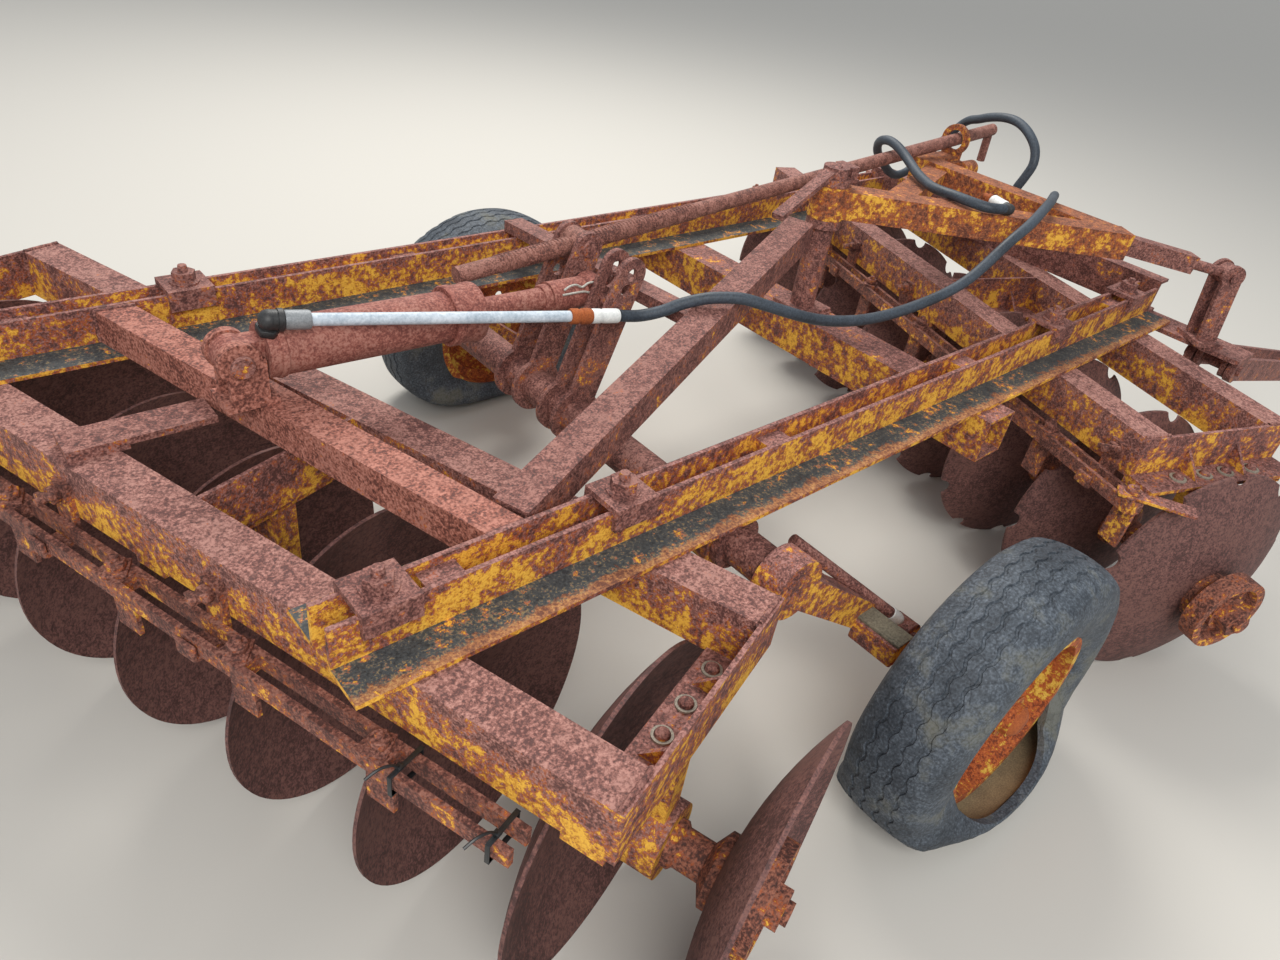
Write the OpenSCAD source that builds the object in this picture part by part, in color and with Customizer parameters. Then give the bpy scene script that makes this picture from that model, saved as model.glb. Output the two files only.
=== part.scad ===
// Offset disc harrow with wheel lift: two rails over two angled gangs of discs.
// +X points forward, +Y to the left and +Z up. The discs and tyres stand on z = 0.

/* [Rails] */
// Leg of the rails' angle iron
rail_leg = 76; // [60:1:90]
// Wall of the rails' angle iron
rail_t = 8; // [6:0.5:10]
// Slot between the two angles of a rail
rail_slot = 42; // [34:1:50]
// Distance between the middles of the two rails
rail_spread = 952; // [900:1:1000]
// Height of the rails' flanges above the ground
flange_z = 638; // [630:1:660]
// Front end of both rails
rail_front_x = 1203; // [1180:1:1260]
// Rear end of the right rail
right_rear_x = -1204; // [-1260:1:-1190]
// Rear end of the left rail
left_rear_x = -1519; // [-1580:1:-1500]

/* [Gang frames] */
// Width of a gang beam
beam_w = 76; // [70:1:84]
// Height of a gang beam
beam_h = 100; // [90:1:104]
// Wall of a gang beam
beam_wall = 6; // [4:0.5:8]
// Gang beams shorter than the row of discs
beam_short = 109; // [100:1:120]
// Depth of a gang frame over both beams
frame_d = 460; // [450:1:480]
// Turn of the rear gang about the vertical
rear_turn = 18.3; // [17:0.1:19]
// Turn of the front gang about the vertical
front_turn = -20.5; // [-21:0.1:-19]
// Middle of the rear gang ahead of the rails' middle
rear_x = -1090; // [-1100:1:-1080]
// Middle of the rear gang left of the rails' middle
rear_y = 41; // [30:1:50]
// Middle of the front gang ahead of the rails' middle
front_x = 1000; // [990:1:1020]
// Middle of the front gang left of the rails' middle
front_y = -80; // [-90:1:-70]
// Discs of the rear gang set over along its beams
rear_shift = -40; // [-46:1:-30]
// Discs of the front gang set over along its beams
front_shift = -110; // [-114:1:-104]
// Far tie of the front gang in from the beams' ends
tie_inset = 90; // [80:1:100]
// Leg of the end and middle ties' angle iron
tie_leg = 76; // [64:1:80]
// Wall of the ties' angle iron
tie_t = 8; // [6:0.5:10]

/* [Discs] */
// Diameter of a disc
disc_d = 580; // [560:1:590]
// Thickness of a disc
disc_t = 6; // [5:0.5:8]
// Radius of the sphere that a disc is pressed to
dish_r = 640; // [600:1:700]
// Diameter of a disc's flat middle
disc_flat_d = 140; // [136:1:160]
// Number of discs on a gang
disc_n = 8; // [6:1:8]
// Distance from disc to disc
disc_pitch = 267; // [262:1:270]
// Number of notches in a front disc
notch_n = 10; // [8:1:12]
// Radius of a notch
notch_r = 26; // [20:1:30]

/* [Gang axle] */
// Diameter of the gang axle
axle_d = 38; // [32:1:42]
// Diameter of a spool's end
spool_d = 124; // [110:1:130]
// Diameter of a spool's waist
spool_waist_d = 66; // [60:1:72]
// Diameter of the flanged end washer
end_washer_d = 190; // [150:1:200]
// Distance from the last disc to the end washer
end_reach = 75; // [70:1:110]
// Diameter of a bearing journal
journal_d = 80; // [74:1:84]
// Outside diameter of a bearing housing
housing_d = 128; // [120:1:136]
// Width of a bearing housing
housing_w = 84; // [70:1:90]

/* [Scrapers] */
// Height of a scraper bar
scraper_bar_h = 30; // [25:1:36]
// Thickness of a scraper bar
scraper_bar_t = 10; // [8:1:12]
// Gap between the two scraper bars
scraper_gap = 26; // [24:1:30]
// Width of a scraper blade
blade_w = 50; // [40:1:60]

/* [Wheel lift] */
// Diameter of the rockshaft
rock_d = 76; // [70:1:80]
// Rockshaft ahead of the rails' middle
rock_x = -464; // [-470:1:-455]
// Rockshaft below the rails' flanges
rock_drop = 95; // [90:1:100]
// Wheel hub ahead of the rails' middle
hub_x = -54; // [-60:1:-50]
// Height of the wheel hubs with soft tyres
hub_z = 238; // [232:1:250]
// Middle of a wheel from the rails' middle
wheel_y = 906; // [896:1:912]
// Middle of a wheel arm from the rails' middle
arm_y = 645; // [636:1:650]
// Side of a square wheel arm
arm_w = 64; // [56:1:70]
// Width of a lift plate
plate_w = 68; // [60:1:76]
// Thickness of a lift plate
plate_t = 12; // [10:1:14]
// Cylinder pin from the rockshaft's middle
pin_reach = 242; // [236:1:248]
// Lean of the lift plates above the horizontal
plate_lean = 69.9; // [68:0.1:72]
// Screw trunnion from the rockshaft's middle
trunnion_reach = 312; // [306:1:320]

/* [Wheels] */
// Diameter of a tyre
tyre_d = 690; // [680:1:700]
// Width of a tyre
tyre_w = 195; // [180:1:205]
// Diameter of the rim where the tyre seats
rim_d = 381; // [375:1:390]
// Diameter of the wheel spindle
spindle_d = 44; // [38:1:50]

/* [Cylinder] */
// Middle of the cylinder left of the rails' middle
cyl_y = 45; // [35:1:55]
// Anchor pin ahead of the rails' middle
anchor_x = -1097; // [-1105:1:-1085]
// Anchor pin above the rails' flanges
anchor_rise = 154; // [148:1:164]
// Diameter of the barrel
barrel_d = 92; // [84:1:100]
// Diameter of the rod
rod_d = 44; // [38:1:50]
// Diameter of the cylinder's pins
pin_d = 26; // [22:1:28]
// Diameter of the hydraulic hose
hose_d = 24; // [20:1:26]

/* [Levelling gear] */
// Levelling screw left of the rails' middle
screw_y = 128; // [122:1:134]
// Diameter of the levelling screw
screw_d = 34; // [30:1:38]
// Guide plate ahead of the rails' middle
guide_x = 1007; // [1000:1:1014]
// Screw at the guide plate above the rails' flanges
guide_rise = 308; // [304:1:316]
// Post ahead of the rails' middle
post_x = 250; // [245:1:255]
// Post right of the rails' middle
post_y = -28; // [-34:1:-20]
// Post's top above the rails' flanges
post_rise = 350; // [344:1:370]
// Diameter of the post
post_d = 60; // [54:1:64]

/* [Hitch] */
// Mast ahead of the rails' middle
mast_x = 1180; // [1176:1:1184]
// Mast right of the rails' middle
mast_y = -652; // [-660:1:-645]
// Mast's eye pin above the rails' flanges
eye_rise = 189; // [180:1:200]
// Hitch pin ahead of the rails' middle
hitch_x = 2260; // [2200:10:2320]
// Height of the hitch clevis above the ground
hitch_z = 360; // [340:1:400]
// Hitch pin hole diameter
hitch_hole_d = 32; // [26:1:38]

/* [Hidden] */

$fn = 48;
rust = [0.45, 0.27, 0.24];
yellow = [0.80, 0.58, 0.14];
steel_brown = [0.33, 0.20, 0.17];
rubber = [0.22, 0.25, 0.27];
paint_blue = [0.74, 0.80, 0.86];

// The middle of the whole harrow from the rails' middle
mid_x = 325;
mid_y = -74;

// Running clearance of a shaft in its bearing, on the radius
run_gap = 0.06;
// Gap left between pieces that move past each other
seat_gap = 0.3;

rail_y = rail_spread / 2;
rail_top_z = flange_z + rail_leg;
beam_bottom_z = flange_z - beam_h;
rock_z = flange_z - rock_drop;
anchor_z = flange_z + anchor_rise;
guide_z = flange_z + guide_rise;
post_top = flange_z + post_rise;
eye_z = flange_z + eye_rise;
beam_half = frame_d / 2 - beam_w / 2;
disc_r = disc_d / 2;
axle_z = disc_r;
disc_span = (disc_n - 1) * disc_pitch;
beam_l = disc_span - beam_short;
inset_tie_y = beam_l / 2 - tie_inset;
pair_left = 1;
pair_right = -1;

module home() translate([-mid_x, -mid_y, 0]) children();
module at_rear() home() translate([rear_x, rear_y, 0]) rotate([0, 0, rear_turn]) children();
module at_front() home() translate([front_x, front_y, 0]) rotate([0, 0, front_turn]) children();
// Places along the gangs, set over with their discs
module at_rear_discs() at_rear() translate([0, rear_shift, 0]) children();
module at_front_discs() at_front() translate([0, front_shift, 0]) children();

// A bar of length l along X, centred on the other two axes
module bar(l, w, h) translate([0, -w / 2, -h / 2]) cube([l, w, h]);
// A box centred on X and Y with its foot at z = 0
module block(x, y, z) translate([-x / 2, -y / 2, 0]) cube([x, y, z]);
// A cylinder along Y, centred
module across(d, l) rotate([90, 0, 0]) cylinder(d = d, h = l, center = true);
// A hexagon head or nut on z = 0
module hex_head(w, h) cylinder(d = w / cos(30), h = h, $fn = 6);

// Rails: two angle irons each, webs facing over a slot, flanges outwards
module rail_angle(l) {
    translate([0, 0, 0]) cube([l, rail_leg, rail_t]);
    translate([0, 0, rail_t]) cube([l, rail_t, rail_leg - rail_t]);
}
spacer_xs = [0.06, 0.34, 0.6, 0.9];
module rail(rear_end) {
    l = rail_front_x - rear_end;
    translate([rear_end, rail_slot / 2, flange_z]) rail_angle(l);
    translate([rear_end, -rail_slot / 2, flange_z]) mirror([0, 1, 0]) rail_angle(l);
    for (s = spacer_xs)
        translate([rear_end + s * l, -rail_slot / 2, flange_z]) cube([60, rail_slot, rail_leg - 14]);
}
module right_rail() color(yellow) home() translate([0, -rail_y, 0]) rail(right_rear_x);
module left_rail() color(yellow) home() translate([0, rail_y, 0]) rail(left_rear_x);

// Saddle clamps over the rails, one where a gang beam crosses below
function beam_x(cx, cy, turn, side, y) = cx + side * beam_half / cos(turn) - (y - cy) * tan(turn);
clamp_l = 84;
clamp_t = 10;
module saddle_clamp() {
    clamp_w = rail_slot + 2 * rail_t + 2;
    translate([0, 0, rail_top_z]) block(clamp_l, clamp_w, clamp_t);
    translate([0, 0, rail_top_z + clamp_t]) hex_head(38, 22);
    for (s = [pair_left, pair_right])
        translate([0, s * (clamp_w / 2 + 5), rail_top_z - 30]) block(clamp_l, 10, 30 + clamp_t);
}
clamp_table = [
    // side of the harrow, centre x, centre y, turn, beam ahead or behind
    [-1, rear_x, rear_y, rear_turn, -1], [-1, rear_x, rear_y, rear_turn, 1],
    [1, rear_x, rear_y, rear_turn, -1], [1, rear_x, rear_y, rear_turn, 1],
    [-1, front_x, front_y, front_turn, -1], [-1, front_x, front_y, front_turn, 1],
    [1, front_x, front_y, front_turn, -1]
];
module rail_clamps() color(rust) home()
    for (c = clamp_table)
        translate([beam_x(c[1], c[2], c[3], c[4], c[0] * rail_y), c[0] * rail_y, 0]) saddle_clamp();

// Channel across the rails' front ends
channel_h = rail_leg + 20;
channel_d = 50;
module front_channel() color(rust) home() {
    l = rail_spread + rail_slot + 2 * rail_t;
    translate([rail_front_x + seat_gap, -l / 2, flange_z]) {
        cube([8, l, channel_h]);
        translate([8, 0, channel_h - 8]) cube([channel_d - 8, l, 8]);
        translate([8, 0, 0]) cube([channel_d - 8, l, 8]);
    }
}

// Beam across under the rails that carries the post
cross_w = 100;
cross_l = rail_spread + rail_slot + 2 * rail_leg + 70;
module cross_beam() color(yellow) home()
    translate([post_x, 0, beam_bottom_z]) difference() {
        block(cross_w, cross_l, beam_h);
        translate([0, 0, beam_wall]) block(cross_w - 2 * beam_wall, cross_l + 2, beam_h - 2 * beam_wall);
    }

// Square tube between the rails, in line with the rear gang, that holds the cylinder's anchor
tube_w = 63;
tube_x = -1036;
tube_top_z = flange_z + rail_t + tube_w;
module cross_tube() color(rust) home() intersection() {
    translate([tube_x, 0, flange_z + rail_t]) rotate([0, 0, rear_turn - 2])
        block(tube_w, rail_spread * 1.2, tube_w);
    translate([tube_x, 0, flange_z]) block(900, rail_spread - rail_slot - 2 * rail_t, 200);
}

// Short strut from the rear beam up to the anchor
strut_w = 66;
strut_t = 12;
strut_front_x = -1118;
strut_rear_x = -1345;
strut_y = 128;
module anchor_strut() color(rust) home()
    translate([strut_rear_x, strut_y - strut_w / 2, flange_z]) {
        cube([90, strut_w, rail_t]);
        translate([0, 0, rail_t]) cube([strut_front_x - strut_rear_x, strut_w, strut_t]);
    }

// Anchor clevis on the cross tube, with its pin
ear_t = 14;
eye_w = 40;
ear_r = 34;
anchor_foot_x = anchor_x + 18;
module cylinder_anchor() color(rust) home() translate([anchor_x, cyl_y, 0]) {
    foot_l = 86;
    translate([12, 0, tube_top_z]) block(foot_l, eye_w + 2 * ear_t + 2, 12);
    for (s = [pair_left, pair_right]) translate([0, s * (eye_w / 2 + 1 + ear_t / 2), 0]) {
        translate([0, 0, anchor_z]) across(2 * ear_r, ear_t);
        translate([10, 0, tube_top_z + 12]) block(60, ear_t, anchor_z - tube_top_z - 12);
    }
    translate([0, 0, anchor_z]) across(pin_d, eye_w + 2 * ear_t + 26);
}

// Stay: an angle iron from the right rail up to the post
stay_w = 64;
stay_t = 8;
stay_foot = [-868, -rail_y + rail_slot / 2 + rail_t + 6, rail_top_z];
stay_rise_top = 225;
stay_head = [post_x - post_d / 2 - 6, post_y - 6, flange_z + stay_rise_top];
stay_run = stay_head - stay_foot;
stay_l = norm(stay_run);
stay_turn = atan2(stay_run[1], stay_run[0]);
stay_rise = asin(stay_run[2] / stay_l);
module stay() color(rust) home() difference() {
    translate(stay_foot) rotate([0, -stay_rise, stay_turn]) {
        translate([2, 0, -stay_t]) cube([stay_l - 12, stay_w, stay_t]);
        translate([2, 0, -stay_w]) cube([stay_l - 12, stay_t, stay_w - stay_t]);
    }
    translate([post_x, post_y, flange_z]) cylinder(r = post_d / 2 + seat_gap, h = 400);
    translate([-1100, -rail_y - 60, flange_z - 60])
        cube([600, 60 + rail_slot / 2 + rail_t + seat_gap, 60 + rail_leg + 60]);
}

// Post with collars, standing on the cross beam
sleeve_z = flange_z + 234;
sleeve_h = 76;
module post() color(rust) home() translate([post_x, post_y, 0]) {
    translate([0, 0, flange_z + 12]) cylinder(d = post_d, h = post_top - flange_z - 12);
    translate([0, 0, flange_z]) block(96, 110, 12);
    translate([0, 0, sleeve_z - 22]) cylinder(d = post_d + 22, h = 22 - seat_gap);
    translate([0, 0, sleeve_z + sleeve_h + seat_gap]) cylinder(d = post_d + 16, h = 16);
    translate([post_d / 2 - 4, -26, post_top - 34]) cube([26, 52, 34]);
    translate([0, 0, post_top]) rotate([0, 0, 190]) rotate([0, 18, 0]) translate([0, -14, -8])
        cube([240, 28, 12]);
}

// Frame that swings on the post: sleeve, two arms and a bar across their ends
bar_x = 880;
bar_z = flange_z + 237;
swing_w = 64;
arm_end_y = -442;
arm_far_y = 120;
module tube_between(a, b, w, h) {
    run = b - a;
    l = norm(run);
    translate(a) rotate([0, -asin(run[2] / l), atan2(run[1], run[0])]) bar(l, w, h);
}
module drawbar_frame() color(yellow) home() difference() {
    union() {
        translate([post_x, post_y, sleeve_z]) cylinder(d = post_d + 26, h = sleeve_h);
        tube_between([post_x, post_y, sleeve_z + 38], [bar_x + 20, arm_end_y - 22, bar_z], swing_w, swing_w);
        tube_between([post_x + 130, post_y - 88, sleeve_z + 32], [bar_x, arm_far_y - 40, bar_z], swing_w, 40);
        translate([bar_x - 32, arm_end_y, bar_z - 32]) cube([swing_w, arm_far_y - arm_end_y + 30, swing_w]);
    }
    translate([post_x, post_y, 0]) cylinder(r = post_d / 2 + run_gap, h = 2000);
}

// Bracket with the round guide plate that the screw passes through
guide_r = 42;
guide_t = 14;
// The screw swings a little as it slides, so its hole is wide
guide_slack = 10;
module screw_bracket() color(yellow) home() {
    difference() {
        union() {
            translate([guide_x - guide_t / 2, screw_y, guide_z]) rotate([0, 90, 0])
                cylinder(r = guide_r, h = guide_t);
            translate([guide_x - guide_t / 2, screw_y - 30, bar_z - 10]) cube([guide_t, 60, guide_z - bar_z]);
            translate([bar_x + 32, screw_y - 30, bar_z - 10])
                cube([guide_x - guide_t / 2 - bar_x - 32, 60, 40]);
        }
        translate([guide_x - 60, screw_y, guide_z]) rotate([0, 90, 0])
            cylinder(r = screw_d / 2 + guide_slack, h = 120);
    }
    translate([guide_x - 50, screw_y - 70, bar_z + 10]) rotate([0, 90, 0]) cylinder(d = 46, h = 60);
    translate([guide_x - 50, screw_y - 70, bar_z - 8]) cube([50, 44, 30]);
}

// Low strut from the left rail to the inner face of the stay
low_strut_x = -262;
low_strut_w = 50;
low_strut_h = 26;
low_strut_l = 720;
low_strut_rise = 3.5;
module low_strut() color(rust) home() difference() {
    translate([low_strut_x - low_strut_w / 2, rail_y + 20, rail_top_z]) rotate([-low_strut_rise, 0, 0])
        translate([0, -low_strut_l, 0]) cube([low_strut_w, low_strut_l, low_strut_h]);
    translate(stay_foot) rotate([0, -stay_rise, stay_turn])
        translate([-200, -400, -300]) cube([2 * stay_l, 400 + stay_t + seat_gap, 600]);
    translate([low_strut_x - 60, rail_y - 60, rail_top_z - 100]) cube([120, 120, 100]);
}

// Gang frames: two tube beams each, with angle-iron ties between them
module gang_beams() for (s = [-1, 1])
    translate([s * beam_half, 0, beam_bottom_z]) difference() {
        block(beam_w, beam_l, beam_h);
        translate([0, 0, beam_wall]) block(beam_w - 2 * beam_wall, beam_l + 2, beam_h - 2 * beam_wall);
    }
module rear_beams() color(rust) at_rear() gang_beams();
module front_beams() color(rust) at_front() gang_beams();

inner_d = frame_d - 2 * beam_w;
gusset_w = 52;
// An angle between the beams: upright web on the XZ plane, foot flange to the side
module tie(l, side, flange_l) {
    translate([-l / 2, side > 0 ? 0 : -tie_t, 0]) cube([l, tie_t, beam_h]);
    translate([-flange_l / 2, side > 0 ? tie_t : -tie_leg, 0]) cube([flange_l, tie_leg - tie_t, tie_t]);
    for (g = [-1, 1]) translate([g * inner_d / 4 - 4, 0, tie_t]) rotate([90, 0, 90])
        linear_extrude(8) polygon([
            [side * tie_t, 0], [side * (tie_t + gusset_w), 0], [side * tie_t, gusset_w]
        ]);
}
// Ties: place of the web along the beams, way the flange points, length of the web and of the flange
rear_tie_table = [
    [-beam_l / 2 - tie_t, 1, frame_d, inner_d], [rear_shift - tie_leg / 2, 1, inner_d, inner_d],
    [beam_l / 2, 1, frame_d, frame_d]
];
front_tie_table = [
    [-beam_l / 2, -1, frame_d, frame_d], [front_shift + tie_leg / 2, -1, inner_d, inner_d],
    [inset_tie_y, -1, inner_d, inner_d]
];
module gang_ties(table) for (t = table) translate([0, t[0], beam_bottom_z]) tie(t[2], t[1], t[3]);
module rear_ties() color(yellow) at_rear() gang_ties(rear_tie_table);
module front_ties() color(yellow) at_front() gang_ties(front_tie_table);

// Bearing standards: foot plate, web and a round housing for the gang's journals
standard_ys = [-(disc_n / 2 - 1) * disc_pitch, 0, (disc_n / 2 - 1) * disc_pitch];
foot_t = 14;
module standard() difference() {
    union() {
        translate([0, 0, axle_z]) across(housing_d, housing_w);
        translate([0, 0, axle_z + 30]) block(44, 60, beam_bottom_z - foot_t - axle_z - 30);
        translate([0, 0, beam_bottom_z - foot_t]) block(frame_d, 64, foot_t);
    }
    translate([0, 0, axle_z]) across(journal_d + 2 * run_gap, housing_w + 2);
}
module standards() for (y = standard_ys) translate([0, y, 0]) standard();
module rear_standards() color(rust) at_rear_discs() standards();
module front_standards() color(rust) at_front_discs() standards();

// Discs: flat in the middle, pressed to a sphere outside it
flat_rise = dish_r - sqrt(dish_r * dish_r - disc_flat_d * disc_flat_d / 4);
module disc_profile() {
    translate([axle_d / 2 + seat_gap, 0]) square([disc_flat_d / 2 - axle_d / 2 + 2, disc_t]);
    intersection() {
        translate([0, dish_r - flat_rise]) difference() {
            circle(r = dish_r, $fn = 180);
            circle(r = dish_r - disc_t, $fn = 180);
        }
        translate([disc_flat_d / 2, -disc_t]) square([disc_r - disc_flat_d / 2, dish_r / 3]);
    }
}
// A disc on the Y axis, its hollow side towards side
module disc(side, notched) rotate([-90 * side, 0, 0]) difference() {
    rotate_extrude($fn = 120) disc_profile();
    if (notched) for (i = [0 : notch_n - 1]) rotate([0, 0, (i + 0.5) * 360 / notch_n])
        translate([disc_r + 6, 0, -10]) cylinder(r = notch_r, h = 160, $fn = 32);
}
module disc_row(side, notched) for (i = [0 : disc_n - 1])
    translate([0, -disc_span / 2 + i * disc_pitch, axle_z]) rotate([0, i * 17, 0]) disc(side, notched);
module front_discs() color(steel_brown) at_front_discs() disc_row(1, true);
module rear_discs() color(steel_brown) at_rear_discs() disc_row(-1, false);

// Axle: shaft, spools between the discs, journals in the bearings, end washers and nuts
nut_reach = 36;
module spool(l) rotate([-90, 0, 0]) rotate_extrude() polygon([
    [0, -l / 2], [spool_d / 2, -l / 2], [spool_d / 2, -l / 2 + 14], [spool_waist_d / 2, -l / 2 + 44],
    [spool_waist_d / 2, l / 2 - 44], [spool_d / 2, l / 2 - 14], [spool_d / 2, l / 2], [0, l / 2]
]);
module journal_spool(l) rotate([-90, 0, 0]) rotate_extrude() polygon([
    [0, -l / 2], [spool_d / 2, -l / 2], [spool_d / 2, -l / 2 + 14], [spool_waist_d / 2, -l / 2 + 30],
    [spool_waist_d / 2, -housing_w / 2 - 14], [journal_d / 2, -housing_w / 2 - 8],
    [journal_d / 2, housing_w / 2 + 8], [spool_waist_d / 2, housing_w / 2 + 14],
    [spool_waist_d / 2, l / 2 - 30], [spool_d / 2, l / 2 - 14], [spool_d / 2, l / 2], [0, l / 2]
]);
// Cup washer at an axle's end, its raised rim outward
module end_spool(l) rotate([-90, 0, 0]) rotate_extrude() polygon([
    [0, 0], [spool_d / 2, 0], [spool_d / 2, 16], [end_washer_d / 2, 34], [end_washer_d / 2, l],
    [end_washer_d / 2 - 20, l], [end_washer_d / 2 - 26, l - 22], [axle_d / 2 + 26, l - 22],
    [axle_d / 2 + 26, l - 8], [0, l - 8]
]);
// side is the way the discs' hollow faces; their flat middles lie from 0 to disc_t on that side
module gang_axle(side) translate([0, 0, axle_z]) {
    lead = side > 0 ? 0 : -disc_t;
    across(axle_d, disc_span + 2 * (end_reach + nut_reach));
    for (i = [0 : disc_n - 2]) {
        start = -disc_span / 2 + i * disc_pitch + lead + disc_t;
        mid = start + (disc_pitch - disc_t) / 2;
        l = disc_pitch - disc_t;
        translate([0, mid, 0]) {
            if (i == 0 || i == disc_n / 2 - 1 || i == disc_n - 2) journal_spool(l);
            else spool(l);
        }
    }
    translate([0, disc_span / 2 + lead + disc_t, 0]) end_spool(end_reach);
    translate([0, -disc_span / 2 + lead, 0]) mirror([0, 1, 0]) end_spool(end_reach);
    for (s = [pair_left, pair_right]) translate([0, s * (disc_span / 2 + end_reach - 10), 0])
        rotate([-90 * s, 0, 0]) hex_head(64, nut_reach);
}
module front_axle() color(rust) at_front_discs() gang_axle(1);
module rear_axle() color(rust) at_rear_discs() gang_axle(-1);

// Scrapers: two flat bars behind each gang, hung on straps, with a blade for each disc
bar_reach = frame_d / 2 + 16;
bar_step = scraper_gap + scraper_bar_t;
bar_foot_z = beam_bottom_z - scraper_bar_h - 8;
strap_t = 10;
// Ends of the bars along the gangs, and the first disc that has a blade
rear_bar_ends = [-775, 920];
front_bar_ends = [-960, 960];
rear_strap_ys = [-200, 150, 420];
front_strap_ys = [-835, -10, 290, 800];
rear_first_blade = 2;
front_first_blade = 0;
module scraper_bars(ends, strap_ys) {
    for (s = [0, 1]) translate([-bar_reach - s * bar_step - scraper_bar_t / 2, ends[0], bar_foot_z])
        cube([scraper_bar_t, ends[1] - ends[0], scraper_bar_h]);
    for (y = strap_ys) translate([-frame_d / 2 - strap_t, y - 20, bar_foot_z - 8]) {
        translate([-seat_gap, 0, 0]) cube([strap_t, 40, 110]);
        translate([-bar_reach + frame_d / 2 - bar_step, 0, 0]) cube([bar_reach - frame_d / 2 + bar_step, 40, 8]);
    }
}
module rear_scraper_bars() color(rust) at_rear() scraper_bars(rear_bar_ends, rear_strap_ys);
module front_scraper_bars() color(rust) at_front() scraper_bars(front_bar_ends, front_strap_ys);

// Blades hang from clamp blocks between the bars and reach down beside the discs' hollow faces
blade_side = 104;
blade_drop = 92;
module scraper_blades(side, first) for (i = [first : disc_n - 1]) {
    y = -disc_span / 2 + i * disc_pitch + side * blade_side;
    translate([-bar_reach - bar_step / 2, y, bar_foot_z]) {
        block(scraper_gap - 2 * seat_gap, blade_w, scraper_bar_h);
        translate([0, 0, -blade_drop]) block(8, blade_w, blade_drop);
    }
}
module rear_scraper_blades() color(rust) at_rear_discs() scraper_blades(-1, rear_first_blade);
module front_scraper_blades() color(rust) at_front_discs() scraper_blades(1, front_first_blade);

// Bearings of the rockshaft under the rails
bearing_w = 70;
module rockshaft_bearings() color(yellow) home() for (s = [pair_left, pair_right])
    translate([rock_x, s * rail_y, 0]) difference() {
        union() {
            translate([0, 0, rock_z]) across(rock_d + 48, bearing_w);
            translate([0, 0, rock_z + 10]) block(120, bearing_w, flange_z - rock_z - 10);
        }
        translate([0, 0, rock_z]) across(rock_d + 2 * run_gap, bearing_w + 2);
    }

// Rockshaft and what turns with it
shaft_l = 2 * (arm_y - arm_w / 2 - seat_gap);
module rockshaft() color(rust) home() translate([rock_x, 0, rock_z]) {
    across(rock_d, shaft_l);
    for (s = [pair_left, pair_right]) for (g = [-1, 1])
        translate([0, s * rail_y + g * (bearing_w / 2 + 10), 0]) across(rock_d + 30, 16);
}
// Lift plates in two pairs: middle of each plate, and whether it holds the screw's trunnion
plate_gap = 33;
lift_table = [
    [screw_y + plate_gap, true], [screw_y - plate_gap, true],
    [cyl_y - eye_w / 2 - 15 - plate_t / 2, false], [cyl_y - eye_w / 2 - 15 - plate_t / 2 - 48, false]
];
pin_from_y = lift_table[3][0] - plate_t / 2 - 8;
pin_to_y = lift_table[1][0] + plate_t / 2 + 14;
module lift_plate(holds_screw) difference() {
    union() {
        across(rock_d + 40, plate_t);
        translate([-plate_w / 2, -plate_t / 2, 0]) cube([plate_w, plate_t, trunnion_reach]);
        translate([0, 0, trunnion_reach]) across(plate_w, plate_t);
    }
    across(rock_d, plate_t + 2);
    translate([0, 0, pin_reach]) across(pin_d, plate_t + 2);
    if (holds_screw) translate([0, 0, trunnion_reach]) across(pin_d + 2 * run_gap, plate_t + 2);
    if (!holds_screw) for (h = [pin_reach + 38, trunnion_reach])
        translate([0, 0, h]) across(pin_d, plate_t + 2);
}
module lift_plates() color(rust) home() translate([rock_x, 0, rock_z]) rotate([0, 90 - plate_lean, 0]) {
    for (p = lift_table) translate([0, p[0], 0]) lift_plate(p[1]);
    translate([0, (pin_from_y + pin_to_y) / 2, pin_reach]) across(pin_d, pin_to_y - pin_from_y);
}

// Wheel arms from the rockshaft's ends to the spindles
arm_run = [hub_x - rock_x, hub_z - rock_z];
arm_l = norm(arm_run);
arm_drop = -atan2(arm_run[1], arm_run[0]);
// Spindle's end beyond the wheel's middle
spindle_tip = 40;
module wheel_arm() {
    rotate([0, arm_drop, 0]) {
        translate([-arm_w / 2 - 8, -arm_w / 2, -arm_w / 2]) cube([arm_l + arm_w / 2 + 44, arm_w, arm_w]);
        translate([50, -arm_w / 2 - 40, arm_w / 2 - 8]) cube([0.3 * arm_l, 40, 8]);
    }
    across(rock_d + 44, arm_w - 6);
    translate([arm_run[0], 0, arm_run[1]]) {
        translate([0, arm_w / 2 + 25, 0]) across(spindle_d + 36, 50);
        translate([0, (wheel_y - arm_y + spindle_tip) / 2, 0]) across(spindle_d, wheel_y - arm_y + spindle_tip);
    }
}
module wheel_arms() color(yellow) home() for (s = [pair_left, pair_right])
    mirror([0, s > 0 ? 0 : 1, 0]) translate([rock_x, arm_y, rock_z]) wheel_arm();

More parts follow.
